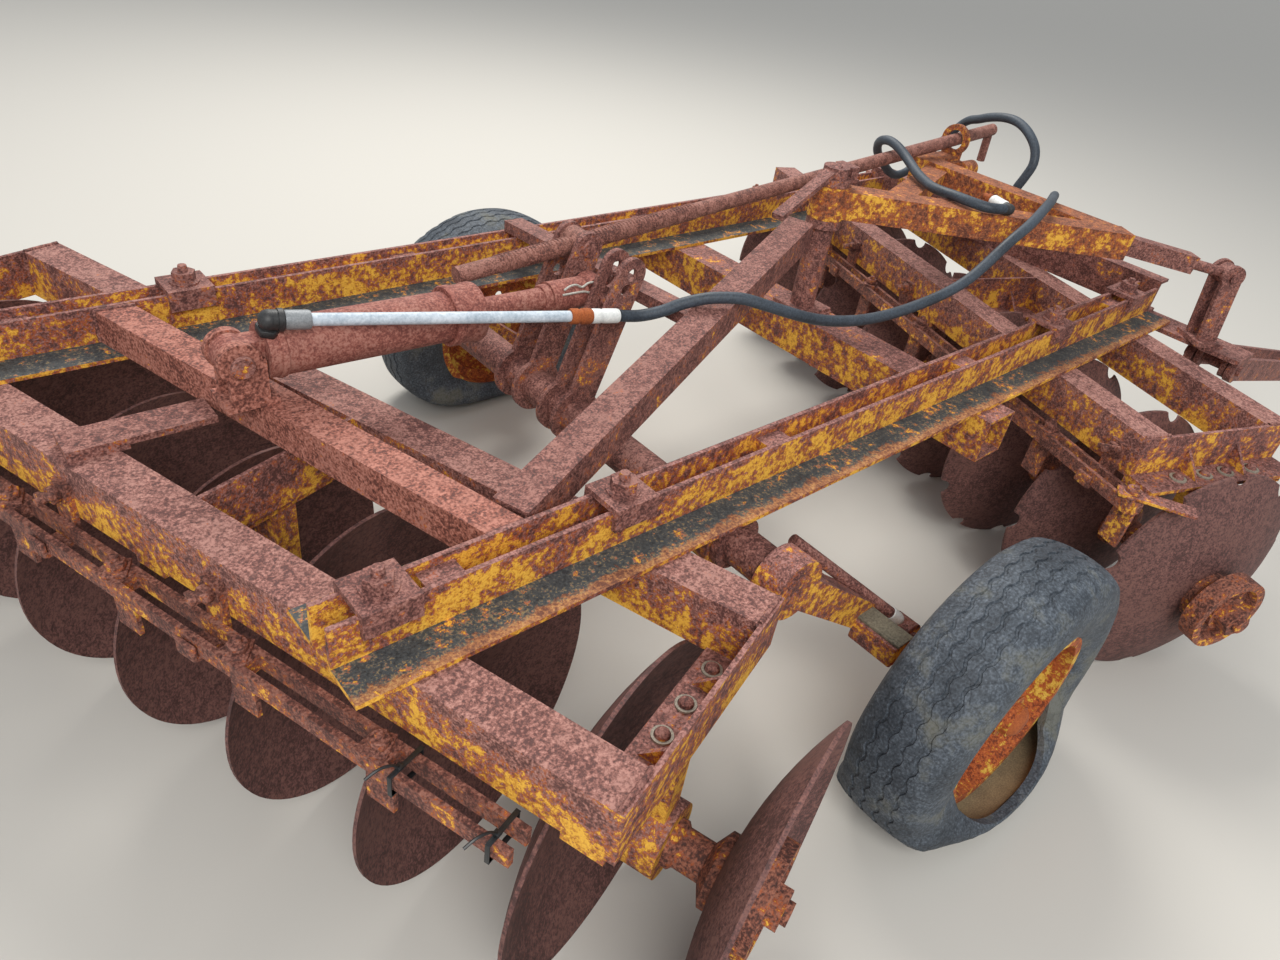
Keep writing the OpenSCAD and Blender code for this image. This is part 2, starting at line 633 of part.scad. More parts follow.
// Wheels: rim with well, disc and hub; soft tyre that stands flat on the ground
rim_r = rim_d / 2;
rim_w = 150;
hub_d = 96;
hub_l = 130;
module rim() rotate([-90, 0, 0]) difference() {
    union() {
        rotate_extrude($fn = 72) polygon([
            [rim_r + 16, -rim_w / 2 - 6], [rim_r + 16, -rim_w / 2], [rim_r, -rim_w / 2],
            [rim_r, -30], [rim_r - 24, -20], [rim_r - 24, 20], [rim_r, 30], [rim_r, rim_w / 2],
            [rim_r + 16, rim_w / 2], [rim_r + 16, rim_w / 2 + 6], [rim_r - 6, rim_w / 2 + 6],
            [rim_r - 6, 34], [rim_r - 30, 22], [rim_r - 30, -22], [rim_r - 6, -34],
            [rim_r - 6, -rim_w / 2 - 6]
        ]);
        rotate_extrude($fn = 72) polygon([
            [spindle_d / 2, -26], [hub_d / 2 + 26, -26], [rim_r - 40, -4], [rim_r - 27, -4],
            [rim_r - 27, 4], [rim_r - 40, 4], [hub_d / 2 + 26, -18], [spindle_d / 2, -18]
        ]);
        translate([0, 0, -hub_l / 2]) cylinder(d = hub_d, h = hub_l);
        translate([0, 0, hub_l / 2]) cylinder(d = hub_d - 24, h = 16);
    }
    translate([0, 0, -hub_l / 2 - 30]) cylinder(r = spindle_d / 2 + run_gap, h = hub_l + 30 - 20);
    for (i = [0 : 4]) rotate([0, 0, i * 72]) translate([hub_d / 2 + 42, 0, -40]) cylinder(d = 30, h = 60);
}
tyre_r = tyre_d / 2;
module tyre() difference() {
    rotate([-90, 0, 0]) rotate_extrude($fn = 96) polygon([
        [rim_r + 0.1, -rim_w / 2 + 0.2], [rim_r + 20, -rim_w / 2 + 0.2], [rim_r + 60, -tyre_w / 2],
        [tyre_r - 70, -tyre_w / 2], [tyre_r - 20, -tyre_w / 2 + 14], [tyre_r - 4, -tyre_w / 2 + 34],
        [tyre_r, -tyre_w / 4], [tyre_r, tyre_w / 4], [tyre_r - 4, tyre_w / 2 - 34],
        [tyre_r - 20, tyre_w / 2 - 14], [tyre_r - 70, tyre_w / 2], [rim_r + 60, tyre_w / 2],
        [rim_r + 20, rim_w / 2 - 0.2], [rim_r + 0.1, rim_w / 2 - 0.2]
    ]);
    translate([-tyre_d, -tyre_w, -tyre_d - hub_z]) cube([2 * tyre_d, 2 * tyre_w, tyre_d]);
}
module at_wheel(s) home() translate([hub_x, s * wheel_y, hub_z])
    mirror([0, s > 0 ? 0 : 1, 0]) children();
module right_rim() color(rust) at_wheel(-1) rim();
module left_rim() color(rust) at_wheel(1) rim();
module right_tyre() color(rubber) at_wheel(-1) tyre();
module left_tyre() color(rubber) at_wheel(1) tyre();

// Cylinder: barrel on the anchor, rod on the lift plates' pin
pin_x = rock_x + pin_reach * cos(plate_lean);
pin_z = rock_z + pin_reach * sin(plate_lean);
cyl_run = [pin_x - anchor_x, pin_z - anchor_z];
cyl_l = norm(cyl_run);
cyl_drop = -atan2(cyl_run[1], cyl_run[0]);
barrel_l = 440;
gland_l = 60;
module at_cylinder() home() translate([anchor_x, cyl_y, anchor_z]) rotate([0, cyl_drop, 0]) children();
module cylinder_barrel() color([0.56, 0.30, 0.27]) at_cylinder() difference() {
    union() {
        across(2 * ear_r - 8, eye_w);
        translate([6, -eye_w / 2, -26]) cube([ear_r + 10, eye_w, 52]);
        translate([ear_r + 10, 0, 0]) rotate([0, 90, 0])
            cylinder(d = barrel_d, h = barrel_l - ear_r - 10 - gland_l);
        translate([barrel_l - gland_l, 0, 0]) rotate([0, 90, 0]) cylinder(d = barrel_d + 12, h = gland_l);
    }
    across(pin_d + 2 * run_gap, eye_w + 2);
    translate([barrel_l - 300, 0, 0]) rotate([0, 90, 0]) cylinder(r = rod_d / 2 + run_gap, h = 320);
}
eye_slack = 6;
module cylinder_rod() color(rust) at_cylinder() difference() {
    union() {
        translate([barrel_l - 80, 0, 0]) rotate([0, 90, 0]) cylinder(d = rod_d, h = cyl_l - barrel_l + 60);
        translate([cyl_l - 110, 0, 0]) rotate([0, 90, 0]) cylinder(d = 62, h = 84);
        translate([cyl_l, 0, 0]) across(68, eye_w);
    }
    translate([cyl_l, 0, 0]) across(pin_d + 2 * eye_slack, eye_w + 2);
}
// Oil pipe beside the barrel, from an elbow on its base to a coupling at the lift plates
pipe_d = 21;
pipe_from = [52, -25, 63];
pipe_to = [596, -120, 16];
pipe_run = pipe_to - pipe_from;
pipe_l = norm(pipe_run);
module oil_pipe() color(paint_blue) at_cylinder() {
    translate(pipe_from) {
        sphere(d = 34);
        rotate([0, acos(pipe_run[2] / pipe_l), atan2(pipe_run[1], pipe_run[0])]) {
            cylinder(d = 30, h = 34);
            cylinder(d = pipe_d, h = pipe_l);
            translate([0, 0, pipe_l - 22]) cylinder(d = 29, h = 46);
            translate([0, 0, pipe_l + 24]) cylinder(d = 28, h = 60);
        }
    }
    port_boss();
}
// Boss of the port under the elbow, down to the barrel's wall
module port_boss() difference() {
    translate([pipe_from[0], 0, 0]) rotate([atan2(-pipe_from[1], pipe_from[2]), 0, 0])
        cylinder(d = 28, h = norm([pipe_from[1], pipe_from[2]]));
    translate([0, 0, 0]) rotate([0, 90, 0]) cylinder(r = barrel_d / 2 + seat_gap, h = 300);
    translate([pipe_from[0], 0, 0]) cube([60, eye_w + 1, 53], center = true);
}

// Levelling screw: rear end threaded through its trunnion, front end through the guide plate
trunnion_x = rock_x + trunnion_reach * cos(plate_lean);
trunnion_z = rock_z + trunnion_reach * sin(plate_lean);
screw_rise = atan2(guide_z - trunnion_z, guide_x - trunnion_x);
screw_tail = 290;
screw_front = 1560;
module levelling_screw() color(rust) home()
    translate([trunnion_x, screw_y, trunnion_z]) rotate([0, -screw_rise, 0]) {
        translate([-screw_tail, 0, 0]) rotate([0, 90, 0]) cylinder(d = screw_d, h = screw_tail + screw_front);
        across(58, 2 * plate_gap - plate_t - 1);
        across(pin_d, 2 * plate_gap + plate_t);
        translate([screw_front - 14, 0, -90]) cylinder(d = 24, h = 90);
    }

// Link bar from the drawbar frame's arm to the mast's eye
mast_lean = 22;
mast_pin_d = 24;
link_w = 44;
link_start = 5.5;
link_a = [bar_x + 20, arm_end_y - 22, bar_z];
link_b = [mast_x - mast_lean, mast_y, eye_z];
link_run = link_b - link_a;
link_l = norm(link_run);
link_turn = atan2(link_run[1], link_run[0]);
link_drop = -asin(link_run[2] / link_l);
eye_bar_w = 26;
module link_bar() color(rust) home() difference() {
    union() {
        translate(link_a) rotate([0, link_drop, link_turn]) {
            translate([link_start, 0, 0]) bar(link_l - 120, link_w, link_w);
            translate([link_l - 170, 0, 0]) rotate([0, 90, 0]) cylinder(d = 26, h = 160);
        }
        translate(link_b) rotate([0, 0, link_turn]) across(52, eye_bar_w);
    }
    translate(link_b) rotate([0, 0, link_turn]) across(mast_pin_d + 2 * seat_gap, eye_bar_w + 30);
}

// Hitch plate in front of the front gang, under the rail's end, with lugs for the tongue
plate_front_x = rail_front_x + channel_d;
plate_rear_x = mast_x - 36;
hitch_plate_t = 12;
tongue_y = mast_y - 60;
tongue_pin_x = mast_x + 50;
tongue_pin_z = flange_z - 52;
tongue_pin_d = 30;
lug_half = 34;
lug_t = 14;
module hitch_plate() color(rust) home() {
    y_right = tongue_y - lug_half - 40;
    translate([plate_rear_x, y_right, flange_z - hitch_plate_t - seat_gap])
        cube([plate_front_x - plate_rear_x, -rail_y + 90 - y_right, hitch_plate_t]);
    for (s = [pair_left, pair_right]) translate([0, tongue_y + s * lug_half, 0]) {
        translate([tongue_pin_x - 32, -lug_t / 2, tongue_pin_z])
            cube([64, lug_t, flange_z - hitch_plate_t - seat_gap - tongue_pin_z]);
        translate([tongue_pin_x, 0, tongue_pin_z]) across(64, lug_t);
    }
    translate([tongue_pin_x, tongue_y, tongue_pin_z]) across(tongue_pin_d, 2 * lug_half + 80);
}

// Mast: two upright plates on a base over the hitch plate, turned in line with the link bar
mast_base_t = 12;
module mast() color(rust) home() translate([mast_x - mast_lean, mast_y, flange_z]) rotate([0, 0, link_turn]) {
    for (s = [pair_left, pair_right]) translate([0, s * 24, 0]) difference() {
        union() {
            translate([mast_lean, -6, 6]) rotate([0, -atan2(mast_lean, eye_rise - 6), 0])
                translate([-26, 0, 0]) cube([52, 12, eye_rise - 6]);
            translate([0, 0, eye_rise]) across(60, 12);
        }
        translate([-100, -8, -30]) cube([300, 16, 30 + mast_base_t]);
    }
    translate([0, 0, eye_rise]) across(mast_pin_d, 76);
    translate([mast_lean, 0, 0]) block(76, 96, mast_base_t);
}

// Tongue: two flat bars from the lugs' pin that close to the hitch clevis
tongue_bar_t = 16;
tongue_bar_h = 64;
tongue_bend = -40;
clevis_l = 150;
clevis_w = 84;
spacer_at = 0.28;
bar_start_y = lug_half + lug_t / 2 + tongue_bar_t / 2 + 6;
bar_end_y = clevis_w / 2 + tongue_bar_t / 2 - 5;
tongue_start = [tongue_pin_x, tongue_y, tongue_pin_z];
tongue_end = [hitch_x - clevis_l + 30, tongue_y + tongue_bend, hitch_z];
module tongue() color(rust) home() {
    for (s = [pair_left, pair_right]) {
        start = tongue_start + [0, s * bar_start_y, 0];
        end = tongue_end + [0, s * bar_end_y, 0];
        difference() {
            union() {
                tube_between(start, end, tongue_bar_t, tongue_bar_h);
                translate(start) rotate([0, 0, atan2(end[1] - start[1], end[0] - start[0])])
                    across(tongue_bar_h + 10, tongue_bar_t + 4);
            }
            translate(start) across(tongue_pin_d + 2 * run_gap, 4 * tongue_bar_t);
        }
    }
    spacer_w = 2 * (bar_start_y + spacer_at * (bar_end_y - bar_start_y)) - tongue_bar_t / 2;
    translate(tongue_start + spacer_at * (tongue_end - tongue_start) - [0, 0, 12])
        block(70, spacer_w, 24);
    translate([hitch_x, tongue_y + tongue_bend, hitch_z]) difference() {
        union() {
            translate([-clevis_l, -clevis_w / 2, -14]) cube([clevis_l, clevis_w, 28]);
            translate([0, 0, -14]) cylinder(d = clevis_w + 14, h = 28);
        }
        translate([0, 0, -20]) cylinder(d = hitch_hole_d, h = 40);
    }
}

// Hydraulic hose: a free cord from the pipe's end over the stay, past the swing frame's bar, over and
// round the screw and back to the frame's arm. Its centreline from the rails' middle
hose_route = [
    [-415, -90, 780], [-372, -101, 776], [-332, -120, 786], [-298, -141, 805], [-262, -163, 818],
    [-230, -184, 823], [-195, -206, 823], [-156, -231, 813], [-115, -249, 800], [-70, -266, 786],
    [-20, -281, 774], [32, -294, 767], [85, -306, 764], [138, -317, 766], [192, -327, 772],
    [245, -336, 781], [296, -344, 792], [345, -351, 806], [388, -358, 826], [426, -363, 852],
    [462, -368, 882], [500, -371, 908], [545, -370, 926], [592, -362, 937], [640, -349, 942],
    [690, -334, 944], [742, -317, 943], [795, -297, 937], [845, -276, 928], [888, -259, 924],
    [922, -245, 917], [945, -232, 893], [955, -217, 857], [957, -196, 823], [954, -168, 808],
    [948, -143, 822], [943, -130, 856], [940, -130, 893], [943, -141, 931], [949, -147, 968],
    [960, -130, 1003], [976, -90, 1030], [994, -42, 1043], [1011, 8, 1040], [1028, 58, 1026],
    [1043, 98, 1009], [1058, 130, 997], [1075, 157, 980], [1086, 184, 952], [1083, 210, 914],
    [1062, 228, 876], [1025, 236, 845], [980, 237, 822], [932, 237, 816], [885, 234, 830],
    [842, 231, 855], [802, 227, 882], [766, 217, 906], [734, 200, 933], [706, 172, 953],
    [688, 136, 963], [677, 98, 958], [664, 60, 946], [642, 20, 936], [612, -20, 932], [580, -62, 932],
    [550, -105, 934], [530, -148, 939], [521, -190, 943], [523, -230, 943], [536, -264, 941],
    [557, -280, 940], [579, -288, 939]
];
hose_sides = 10;
hose_n = len(hose_route);
function unit(v) = v / norm(v);
function square_to(t, v) = unit(v - (v * t) * t);
hose_dirs = [for (i = [0 : hose_n - 1])
    unit(hose_route[min(i + 1, hose_n - 1)] - hose_route[max(i - 1, 0)])];
hose_ups = [for (i = 0, u = square_to(hose_dirs[0], [0, 0, 1]); i < hose_n; i = i + 1,
    u = i < hose_n ? square_to(hose_dirs[i], u) : u) u];
module hose() color(rubber) home() polyhedron(
    points = [for (i = [0 : hose_n - 1], k = [0 : hose_sides - 1])
        let (a = 360 * k / hose_sides)
            hose_route[i] + hose_d / 2 * (cos(a) * hose_ups[i] + sin(a) * cross(hose_dirs[i], hose_ups[i]))],
    faces = concat(
        [[for (k = [0 : hose_sides - 1]) k]],
        [for (i = [0 : hose_n - 2], k = [0 : hose_sides - 1])
            let (a = i * hose_sides + k, b = i * hose_sides + (k + 1) % hose_sides)
                each [[a, a + hose_sides, b], [b, a + hose_sides, b + hose_sides]]],
        [[for (k = [hose_sides - 1 : -1 : 0]) (hose_n - 1) * hose_sides + k]]
    )
);

// Elbow, ferrule and nipple at the hose's free end, lying on the swing frame's arm
end_elbow_d = 27;
end_ferrule_l = 46;
end_nipple_l = 34;
end_way = 69;
module hose_ends() color(rust) home() translate(hose_route[hose_n - 1]) {
    lead = 15;
    along = hose_dirs[hose_n - 1];
    translate(lead * along) {
        sphere(d = end_elbow_d);
        rotate([0, 90, atan2(along[1], along[0]) + 180]) cylinder(d = hose_d, h = lead - 2 * seat_gap);
        rotate([0, 90, end_way]) {
            cylinder(d = end_elbow_d - 2, h = 16);
            translate([0, 0, 14]) cylinder(d = end_elbow_d + 1, h = end_ferrule_l);
            translate([0, 0, 12 + end_ferrule_l]) cylinder(d = 16, h = end_nipple_l);
            translate([0, 0, 20 + end_ferrule_l]) hex_head(21, 12);
        }
    }
}

right_rail();
left_rail();
rail_clamps();
front_channel();
cross_beam();
cross_tube();
anchor_strut();
cylinder_anchor();
stay();
post();
drawbar_frame();
screw_bracket();
low_strut();
rear_beams();
rear_ties();
rear_standards();
front_beams();
front_ties();
front_standards();
rear_scraper_bars();
rear_scraper_blades();
front_scraper_bars();
front_scraper_blades();
rockshaft_bearings();
link_bar();
hitch_plate();
tongue();
mast();
front_axle();
front_discs();
rear_axle();
rear_discs();
rockshaft();
lift_plates();
wheel_arms();
right_rim();
right_tyre();
left_rim();
left_tyre();
cylinder_barrel();
oil_pipe();
cylinder_rod();
levelling_screw();
hose();
hose_ends();
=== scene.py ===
"""Looks of the offset disc harrow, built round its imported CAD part: rails, gangs, lift and hose."""

import math

import bmesh
import bpy
from mathutils import Matrix, Vector, noise


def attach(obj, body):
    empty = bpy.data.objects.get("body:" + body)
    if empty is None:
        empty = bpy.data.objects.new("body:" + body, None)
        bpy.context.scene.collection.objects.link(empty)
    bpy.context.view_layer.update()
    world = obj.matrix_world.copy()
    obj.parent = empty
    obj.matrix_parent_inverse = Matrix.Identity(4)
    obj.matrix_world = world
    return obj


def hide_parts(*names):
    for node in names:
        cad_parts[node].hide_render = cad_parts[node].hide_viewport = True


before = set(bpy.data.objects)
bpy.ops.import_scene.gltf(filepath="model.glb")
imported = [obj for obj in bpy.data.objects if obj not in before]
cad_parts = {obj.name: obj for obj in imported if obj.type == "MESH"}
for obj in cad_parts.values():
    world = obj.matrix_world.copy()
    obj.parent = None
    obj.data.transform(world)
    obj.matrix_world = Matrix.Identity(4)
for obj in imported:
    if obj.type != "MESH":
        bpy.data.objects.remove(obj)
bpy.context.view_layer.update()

# ---------------------------------------------------------------- places
# Places and moves are given in mm, the sizes of pieces in metres.
# The row frame's origin, seen from the rails' middle, in metres
RAILS_MIDDLE = Vector((0.325, -0.074, 0.0))


def spot(x, y, z):
    """A point given in mm from the rails' middle, in metres in the row frame."""
    return Vector((x, y, z)) / 1000 - RAILS_MIDDLE


def moved(x, y, z):
    """A move given in mm."""
    return Matrix.Translation(Vector((x, y, z)) / 1000)


def turned(degrees, axis):
    """A turn about one axis."""
    return Matrix.Rotation(math.radians(degrees), 4, axis)


def placed(x, y, z, degrees=0.0, axis="Z"):
    """A local frame at a point in mm from the rails' middle, turned about one axis."""
    return Matrix.Translation(spot(x, y, z)) @ turned(degrees, axis)


def aimed(direction):
    """A turn that points the Z axis along a direction."""
    return direction.to_track_quat("Z", "Y").to_matrix().to_4x4()


def axis_of(where):
    """The direction of a local frame's Z axis."""
    return (where.to_3x3() @ Vector((0, 0, 1))).normalized()


HOME = Matrix.Translation(-RAILS_MIDDLE)
FLANGE_Z = 638
RAIL_TOP = 714
RAIL_Y = 476
BEAM_BOTTOM = 538

# Each gang: its pivot's x and y, its slant in degrees, and how far its discs lie off the pivot
REAR_XY, REAR_SLANT, REAR_SHIFT = (-1090, 41), 18.3, -40
FRONT_XY, FRONT_SLANT, FRONT_SHIFT = (1000, -80), -20.5, -110
REAR_GANG = placed(*REAR_XY, 0, REAR_SLANT)
FRONT_GANG = placed(*FRONT_XY, 0, FRONT_SLANT)
BEAM_X = 192
DISC_PITCH = 267
N_DISCS = 8

# The cylinder lies between two pins, given as x and z
CYLINDER_Y = 45
ANCHOR_PIN = (-1097, 792)
ROD_PIN = (-380.834, 770.261)
PIN_TO_PIN = math.dist(ANCHOR_PIN, ROD_PIN) / 1000
CYLINDER = placed(ANCHOR_PIN[0], CYLINDER_Y, ANCHOR_PIN[1], 1.73868, "Y")
PIPE_FROM = Vector((52, -25, 63)) / 1000
PIPE_TO = Vector((596, -120, 16)) / 1000

LIFT_PLATES = placed(-464, 0, 543, 20.1, "Y")
SCREW = placed(-356.778, 128, 835.997, -4.6115, "Y")
HUB = (-54, 906, 238)
POST = (250, -28)

# ---------------------------------------------------------------- camera and light


def show(thing):
    bpy.context.scene.collection.objects.link(thing)


# The camera that was fitted to the photo
CAMERA_SPOT = (-1501.5, -1264.7, 1538)
SENSOR_MM = 36
FOCAL_PX = 900
PHOTO_WIDTH_PX = 1280

camera = bpy.data.objects.new("camera", bpy.data.cameras.new("camera"))
show(camera)
right = Vector((0.7533, -0.6436, 0.1351))
ahead = Vector((0.5872, 0.5657, -0.5790))
up = right.cross(ahead).normalized()
right = ahead.cross(up).normalized()
axes = Matrix((right, up, -ahead.normalized())).transposed().to_4x4()
camera.matrix_world = Matrix.Translation(spot(*CAMERA_SPOT)) @ axes
camera.data.sensor_width = SENSOR_MM
camera.data.lens = SENSOR_MM * FOCAL_PX / PHOTO_WIDTH_PX
camera.data.clip_start = 0.01
camera.data.clip_end = 100
bpy.context.scene.camera = camera

world = bpy.data.worlds.new("soft_sky")
bpy.context.scene.world = world
world.use_nodes = True
sky = world.node_tree.nodes["Background"].inputs
sky["Color"].default_value = (0.93, 0.96, 1.0, 1)
sky["Strength"].default_value = 0.58

LIGHT_TARGET = Vector((0, 0, 0.4))


def soft_light(name, place, size, power, colour):
    """A round area light that faces the harrow's middle."""
    lamp = bpy.data.objects.new(name, bpy.data.lights.new(name, "AREA"))
    lamp.data.shape = "DISK"
    lamp.data.size = size
    lamp.data.energy = power
    lamp.data.color = colour
    lamp.location = place
    lamp.rotation_mode = "QUATERNION"
    lamp.rotation_quaternion = (LIGHT_TARGET - Vector(place)).to_track_quat("-Z", "Y")
    show(lamp)


soft_light("high_light", (1.2, 3.4, 5.2), 3.2, 290, (1.0, 0.97, 0.92))
soft_light("near_light", (-3.4, -3.6, 4.4), 3.4, 230, (1.0, 0.98, 0.95))

# ---------------------------------------------------------------- the hose's line
HOSE_D = 0.024
# From the pipe's ferrule, over the stay, round the screw's bracket and back to the cross bar
HOSE_ROUTE = [
    (-415, -90, 780), (-372, -101, 776), (-332, -120, 786), (-298, -141, 805), (-262, -163, 818),
    (-230, -184, 823), (-195, -206, 823), (-156, -231, 813), (-115, -249, 800), (-70, -266, 786),
    (-20, -281, 774), (32, -294, 767), (85, -306, 764), (138, -317, 766), (192, -327, 772),
    (245, -336, 781), (296, -344, 792), (345, -351, 806), (388, -358, 826), (426, -363, 852),
    (462, -368, 882), (500, -371, 908), (545, -370, 926), (592, -362, 937), (640, -349, 942),
    (690, -334, 944), (742, -317, 943), (795, -297, 937), (845, -276, 928), (888, -259, 924),
    (922, -245, 917), (945, -232, 893), (955, -217, 857), (957, -196, 823), (954, -168, 808),
    (948, -143, 822), (943, -130, 856), (940, -130, 893), (943, -141, 931), (949, -147, 968),
    (960, -130, 1003), (976, -90, 1030), (994, -42, 1043), (1011, 8, 1040), (1028, 58, 1026),
    (1043, 98, 1009), (1058, 130, 997), (1075, 157, 980), (1086, 184, 952), (1083, 210, 914),
    (1062, 228, 876), (1025, 236, 845), (980, 237, 822), (932, 237, 816), (885, 234, 830),
    (842, 231, 855), (802, 227, 882), (766, 217, 906), (734, 200, 933), (706, 172, 953),
    (688, 136, 963), (677, 98, 958), (664, 60, 946), (642, 20, 936), (612, -20, 932),
    (580, -62, 932), (550, -105, 934), (530, -148, 939), (521, -190, 943), (523, -230, 943),
    (536, -264, 941), (557, -280, 940), (579, -288, 939),
]


LINE_STEPS = 4


def smooth_line(points):
    """A Catmull-Rom line through the points, with a few steps from each to the next."""
    line = []
    last = len(points) - 1
    for i in range(last):
        a, b = points[max(i - 1, 0)], points[i]
        c, d = points[i + 1], points[min(i + 2, last)]
        for k in range(LINE_STEPS):
            t = k / LINE_STEPS
            line.append(
                0.5 * ((2 * b) + (c - a) * t + (2 * a - 5 * b + 4 * c - d) * t**2
                       + (3 * b - a - 3 * c + d) * t**3)
            )
    return line + [points[-1]]


# ---------------------------------------------------------------- making materials


def linear(hex_colour):
    """An sRGB hex colour as linear red, green, blue and alpha."""
    channels = [int(hex_colour[i : i + 2], 16) / 255 for i in (1, 3, 5)]
    return tuple(
        c / 12.92 if c <= 0.04045 else ((c + 0.055) / 1.055) ** 2.4 for c in channels
    ) + (1.0,)


def new_material(name):
    material = bpy.data.materials.new(name)
    material.use_nodes = True
    return material, material.node_tree.nodes["Principled BSDF"]


def add(material, kind, inputs=None, **settings):
    """Adds a node with its settings. Each input is a value, or an output to link."""
    tree = material.node_tree
    node = tree.nodes.new(kind)
    for key, value in settings.items():
        setattr(node, key, value)
    for key, value in (inputs or {}).items():
        if isinstance(value, bpy.types.NodeSocket):
            tree.links.new(value, node.inputs[key])
        else:
            node.inputs[key].default_value = value
    return node


def cloud(m, place, size_mm, detail, roughness):
    """Noise with spots of about this size."""
    return add(m, "ShaderNodeTexNoise", {"Vector": place, "Scale": 1000 / size_mm,
                                         "Detail": detail, "Roughness": roughness}).outputs["Fac"]


def span(m, value, low, high, to_low=0.0, to_high=1.0):
    """Maps the span from low to high onto another one and holds the value at its ends."""
    return add(m, "ShaderNodeMapRange", {"Value": value, "From Min": low, "From Max": high,
                                         "To Min": to_low, "To Max": to_high}).outputs["Result"]


def reckon(m, operation, *values):
    return add(m, "ShaderNodeMath", dict(enumerate(values)), operation=operation).outputs[0]


def mix(m, kind, share, a, b, way="MIX"):
    return add(m, "ShaderNodeMix", {"Factor": share, "A": a, "B": b},
               data_type=kind, blend_type=way).outputs["Result"]


def ramp(m, value, *stops):
    """Turns a value into a colour by (position, colour) stops."""
    node = add(m, "ShaderNodeValToRGB", {"Fac": value})
    elements = node.color_ramp.elements
    while len(elements) < len(stops):
        elements.new(0.5)
    for element, (position, colour) in zip(elements, stops):
        element.position = position
        element.color = linear(colour)
    return node.outputs["Color"]


def finish(m, shader, colour, roughness, height, strength, bump_mm):
    """Adds the relief and links colour, roughness and relief to the shader."""
    relief = add(m, "ShaderNodeBump", {"Height": height, "Strength": strength,
                                       "Distance": bump_mm / 1000})
    for socket, output in (("Base Color", colour), ("Roughness", roughness),
                           ("Normal", relief.outputs["Normal"])):
        m.node_tree.links.new(output, shader.inputs[socket])
    return m


LICHEN_BELOW = 0.6475  # only the rails' flanges look up below this height
HALO = "#b4551f"
FADED = "#8f6426"


def lichen_on(m, colour, torn, mottle, up, where):
    """Flat flanges hold water: black-grey growth with tan crusts covers them, and the outer
    edge of the right rail's flange wears to bare tan-orange rust."""
    flat = reckon(m, "MULTIPLY", reckon(m, "LESS_THAN", where["Z"], LICHEN_BELOW),
                  reckon(m, "GREATER_THAN", up, 0.7))
    growth = ramp(m, mottle, (0.40, "#2c2f31"), (0.53, "#4c4f50"), (0.585, "#8d7a58"))
    bare = ramp(m, mottle, (0.42, "#6b4030"), (0.5, "#a06a45"), (0.58, "#c08f5a"))
    edge = span(m, reckon(m, "MULTIPLY_ADD", torn, 0.13, where["Y"]), -0.412, -0.42)
    growth = mix(m, "RGBA", edge, growth, bare)
    share = reckon(m, "MULTIPLY", flat, span(m, torn, 0.60, 0.56))
    return mix(m, "RGBA", share, colour, growth)


def weathered_steel(name, rust, enamel=None, side=0.5, top=0.6, lichen=False, grain_mm=4.0,
                    patch_mm=60.0, bump_mm=1.8, bands=()):
    """Rolled steel that has stood outdoors for decades. Rust is matt and granular, in three
    browns. Enamel, where some is left, lies in torn flakes with an orange halo, more of it on
    upright faces (side) than on faces that look up (top): a lower level keeps more paint.
    Each band is (low height, high height, change of level at each), its heights in mm."""
    m, shader = new_material(name)
    coords = add(m, "ShaderNodeTexCoord").outputs
    place = coords["Object"]
    patches = cloud(m, place, patch_mm, 6.0, 0.62)
    grain = cloud(m, place, grain_mm, 2.0, 0.6)
    torn = mix(m, "FLOAT", 0.5, patches, cloud(m, place, 13, 4.0, 0.68))
    mottle = mix(m, "FLOAT", 0.4, torn, grain)
    brown = ramp(m, mottle, (0.43, rust[0]), (0.5, rust[1]), (0.57, rust[2]))
    stains = span(m, patches, 0.36, 0.66, 1.12, 0.80)
    colour = mix(m, "RGBA", 1.0, brown, stains, "MULTIPLY")
    height = grain
    if enamel:
        up = add(m, "ShaderNodeSeparateXYZ", {"Vector": coords["Normal"]}).outputs["Z"]
        where = add(m, "ShaderNodeSeparateXYZ", {"Vector": place}).outputs
        level = span(m, up, 0.25, 0.85, side, top)
        for low, high, low_change, high_change in bands:
            change = span(m, where["Z"], low / 1000, high / 1000, low_change, high_change)
            level = reckon(m, "ADD", level, change)
        level = reckon(m, "ADD", level, reckon(m, "MULTIPLY_ADD", grain, 0.22, -0.11))
        above = reckon(m, "SUBTRACT", torn, level)
        paint = span(m, above, -0.004, 0.02)
        coat = ramp(m, mottle, (0.42, FADED), (0.48, enamel[0]), (0.56, enamel[1]))
        colour = mix(m, "RGBA", span(m, above, -0.06, 0.0, 0.0, 0.8), colour, linear(HALO))
        colour = mix(m, "RGBA", paint, colour, coat)
        height = reckon(m, "MULTIPLY_ADD", paint, 0.35, grain)
        if lichen:
            colour = lichen_on(m, colour, torn, mottle, up, where)
    return finish(m, shader, colour, span(m, grain, 0.3, 0.7, 0.66, 0.92), height, 0.9, bump_mm)


def speckled(name, low, high, grain_mm, roughness, metal=0.0, bump_mm=0.2, patch_mm=60.0,
             specular=0.5):
    """A plain coat or moulding of one colour with fine speckle and broad soiling."""
    m, shader = new_material(name)
    place = add(m, "ShaderNodeTexCoord").outputs["Object"]
    broad = cloud(m, place, patch_mm, 5.0, 0.6)
    mottle = mix(m, "FLOAT", 0.5, cloud(m, place, grain_mm, 3.0, 0.6), broad)
    colour = ramp(m, mottle, (0.36, low), (0.62, high))
    dull = span(m, broad, 0.3, 0.7, roughness - 0.08, roughness + 0.1)
    shader.inputs["Metallic"].default_value = metal
    shader.inputs["Specular IOR Level"].default_value = specular
    return finish(m, shader, colour, dull, mottle, 0.6, bump_mm)


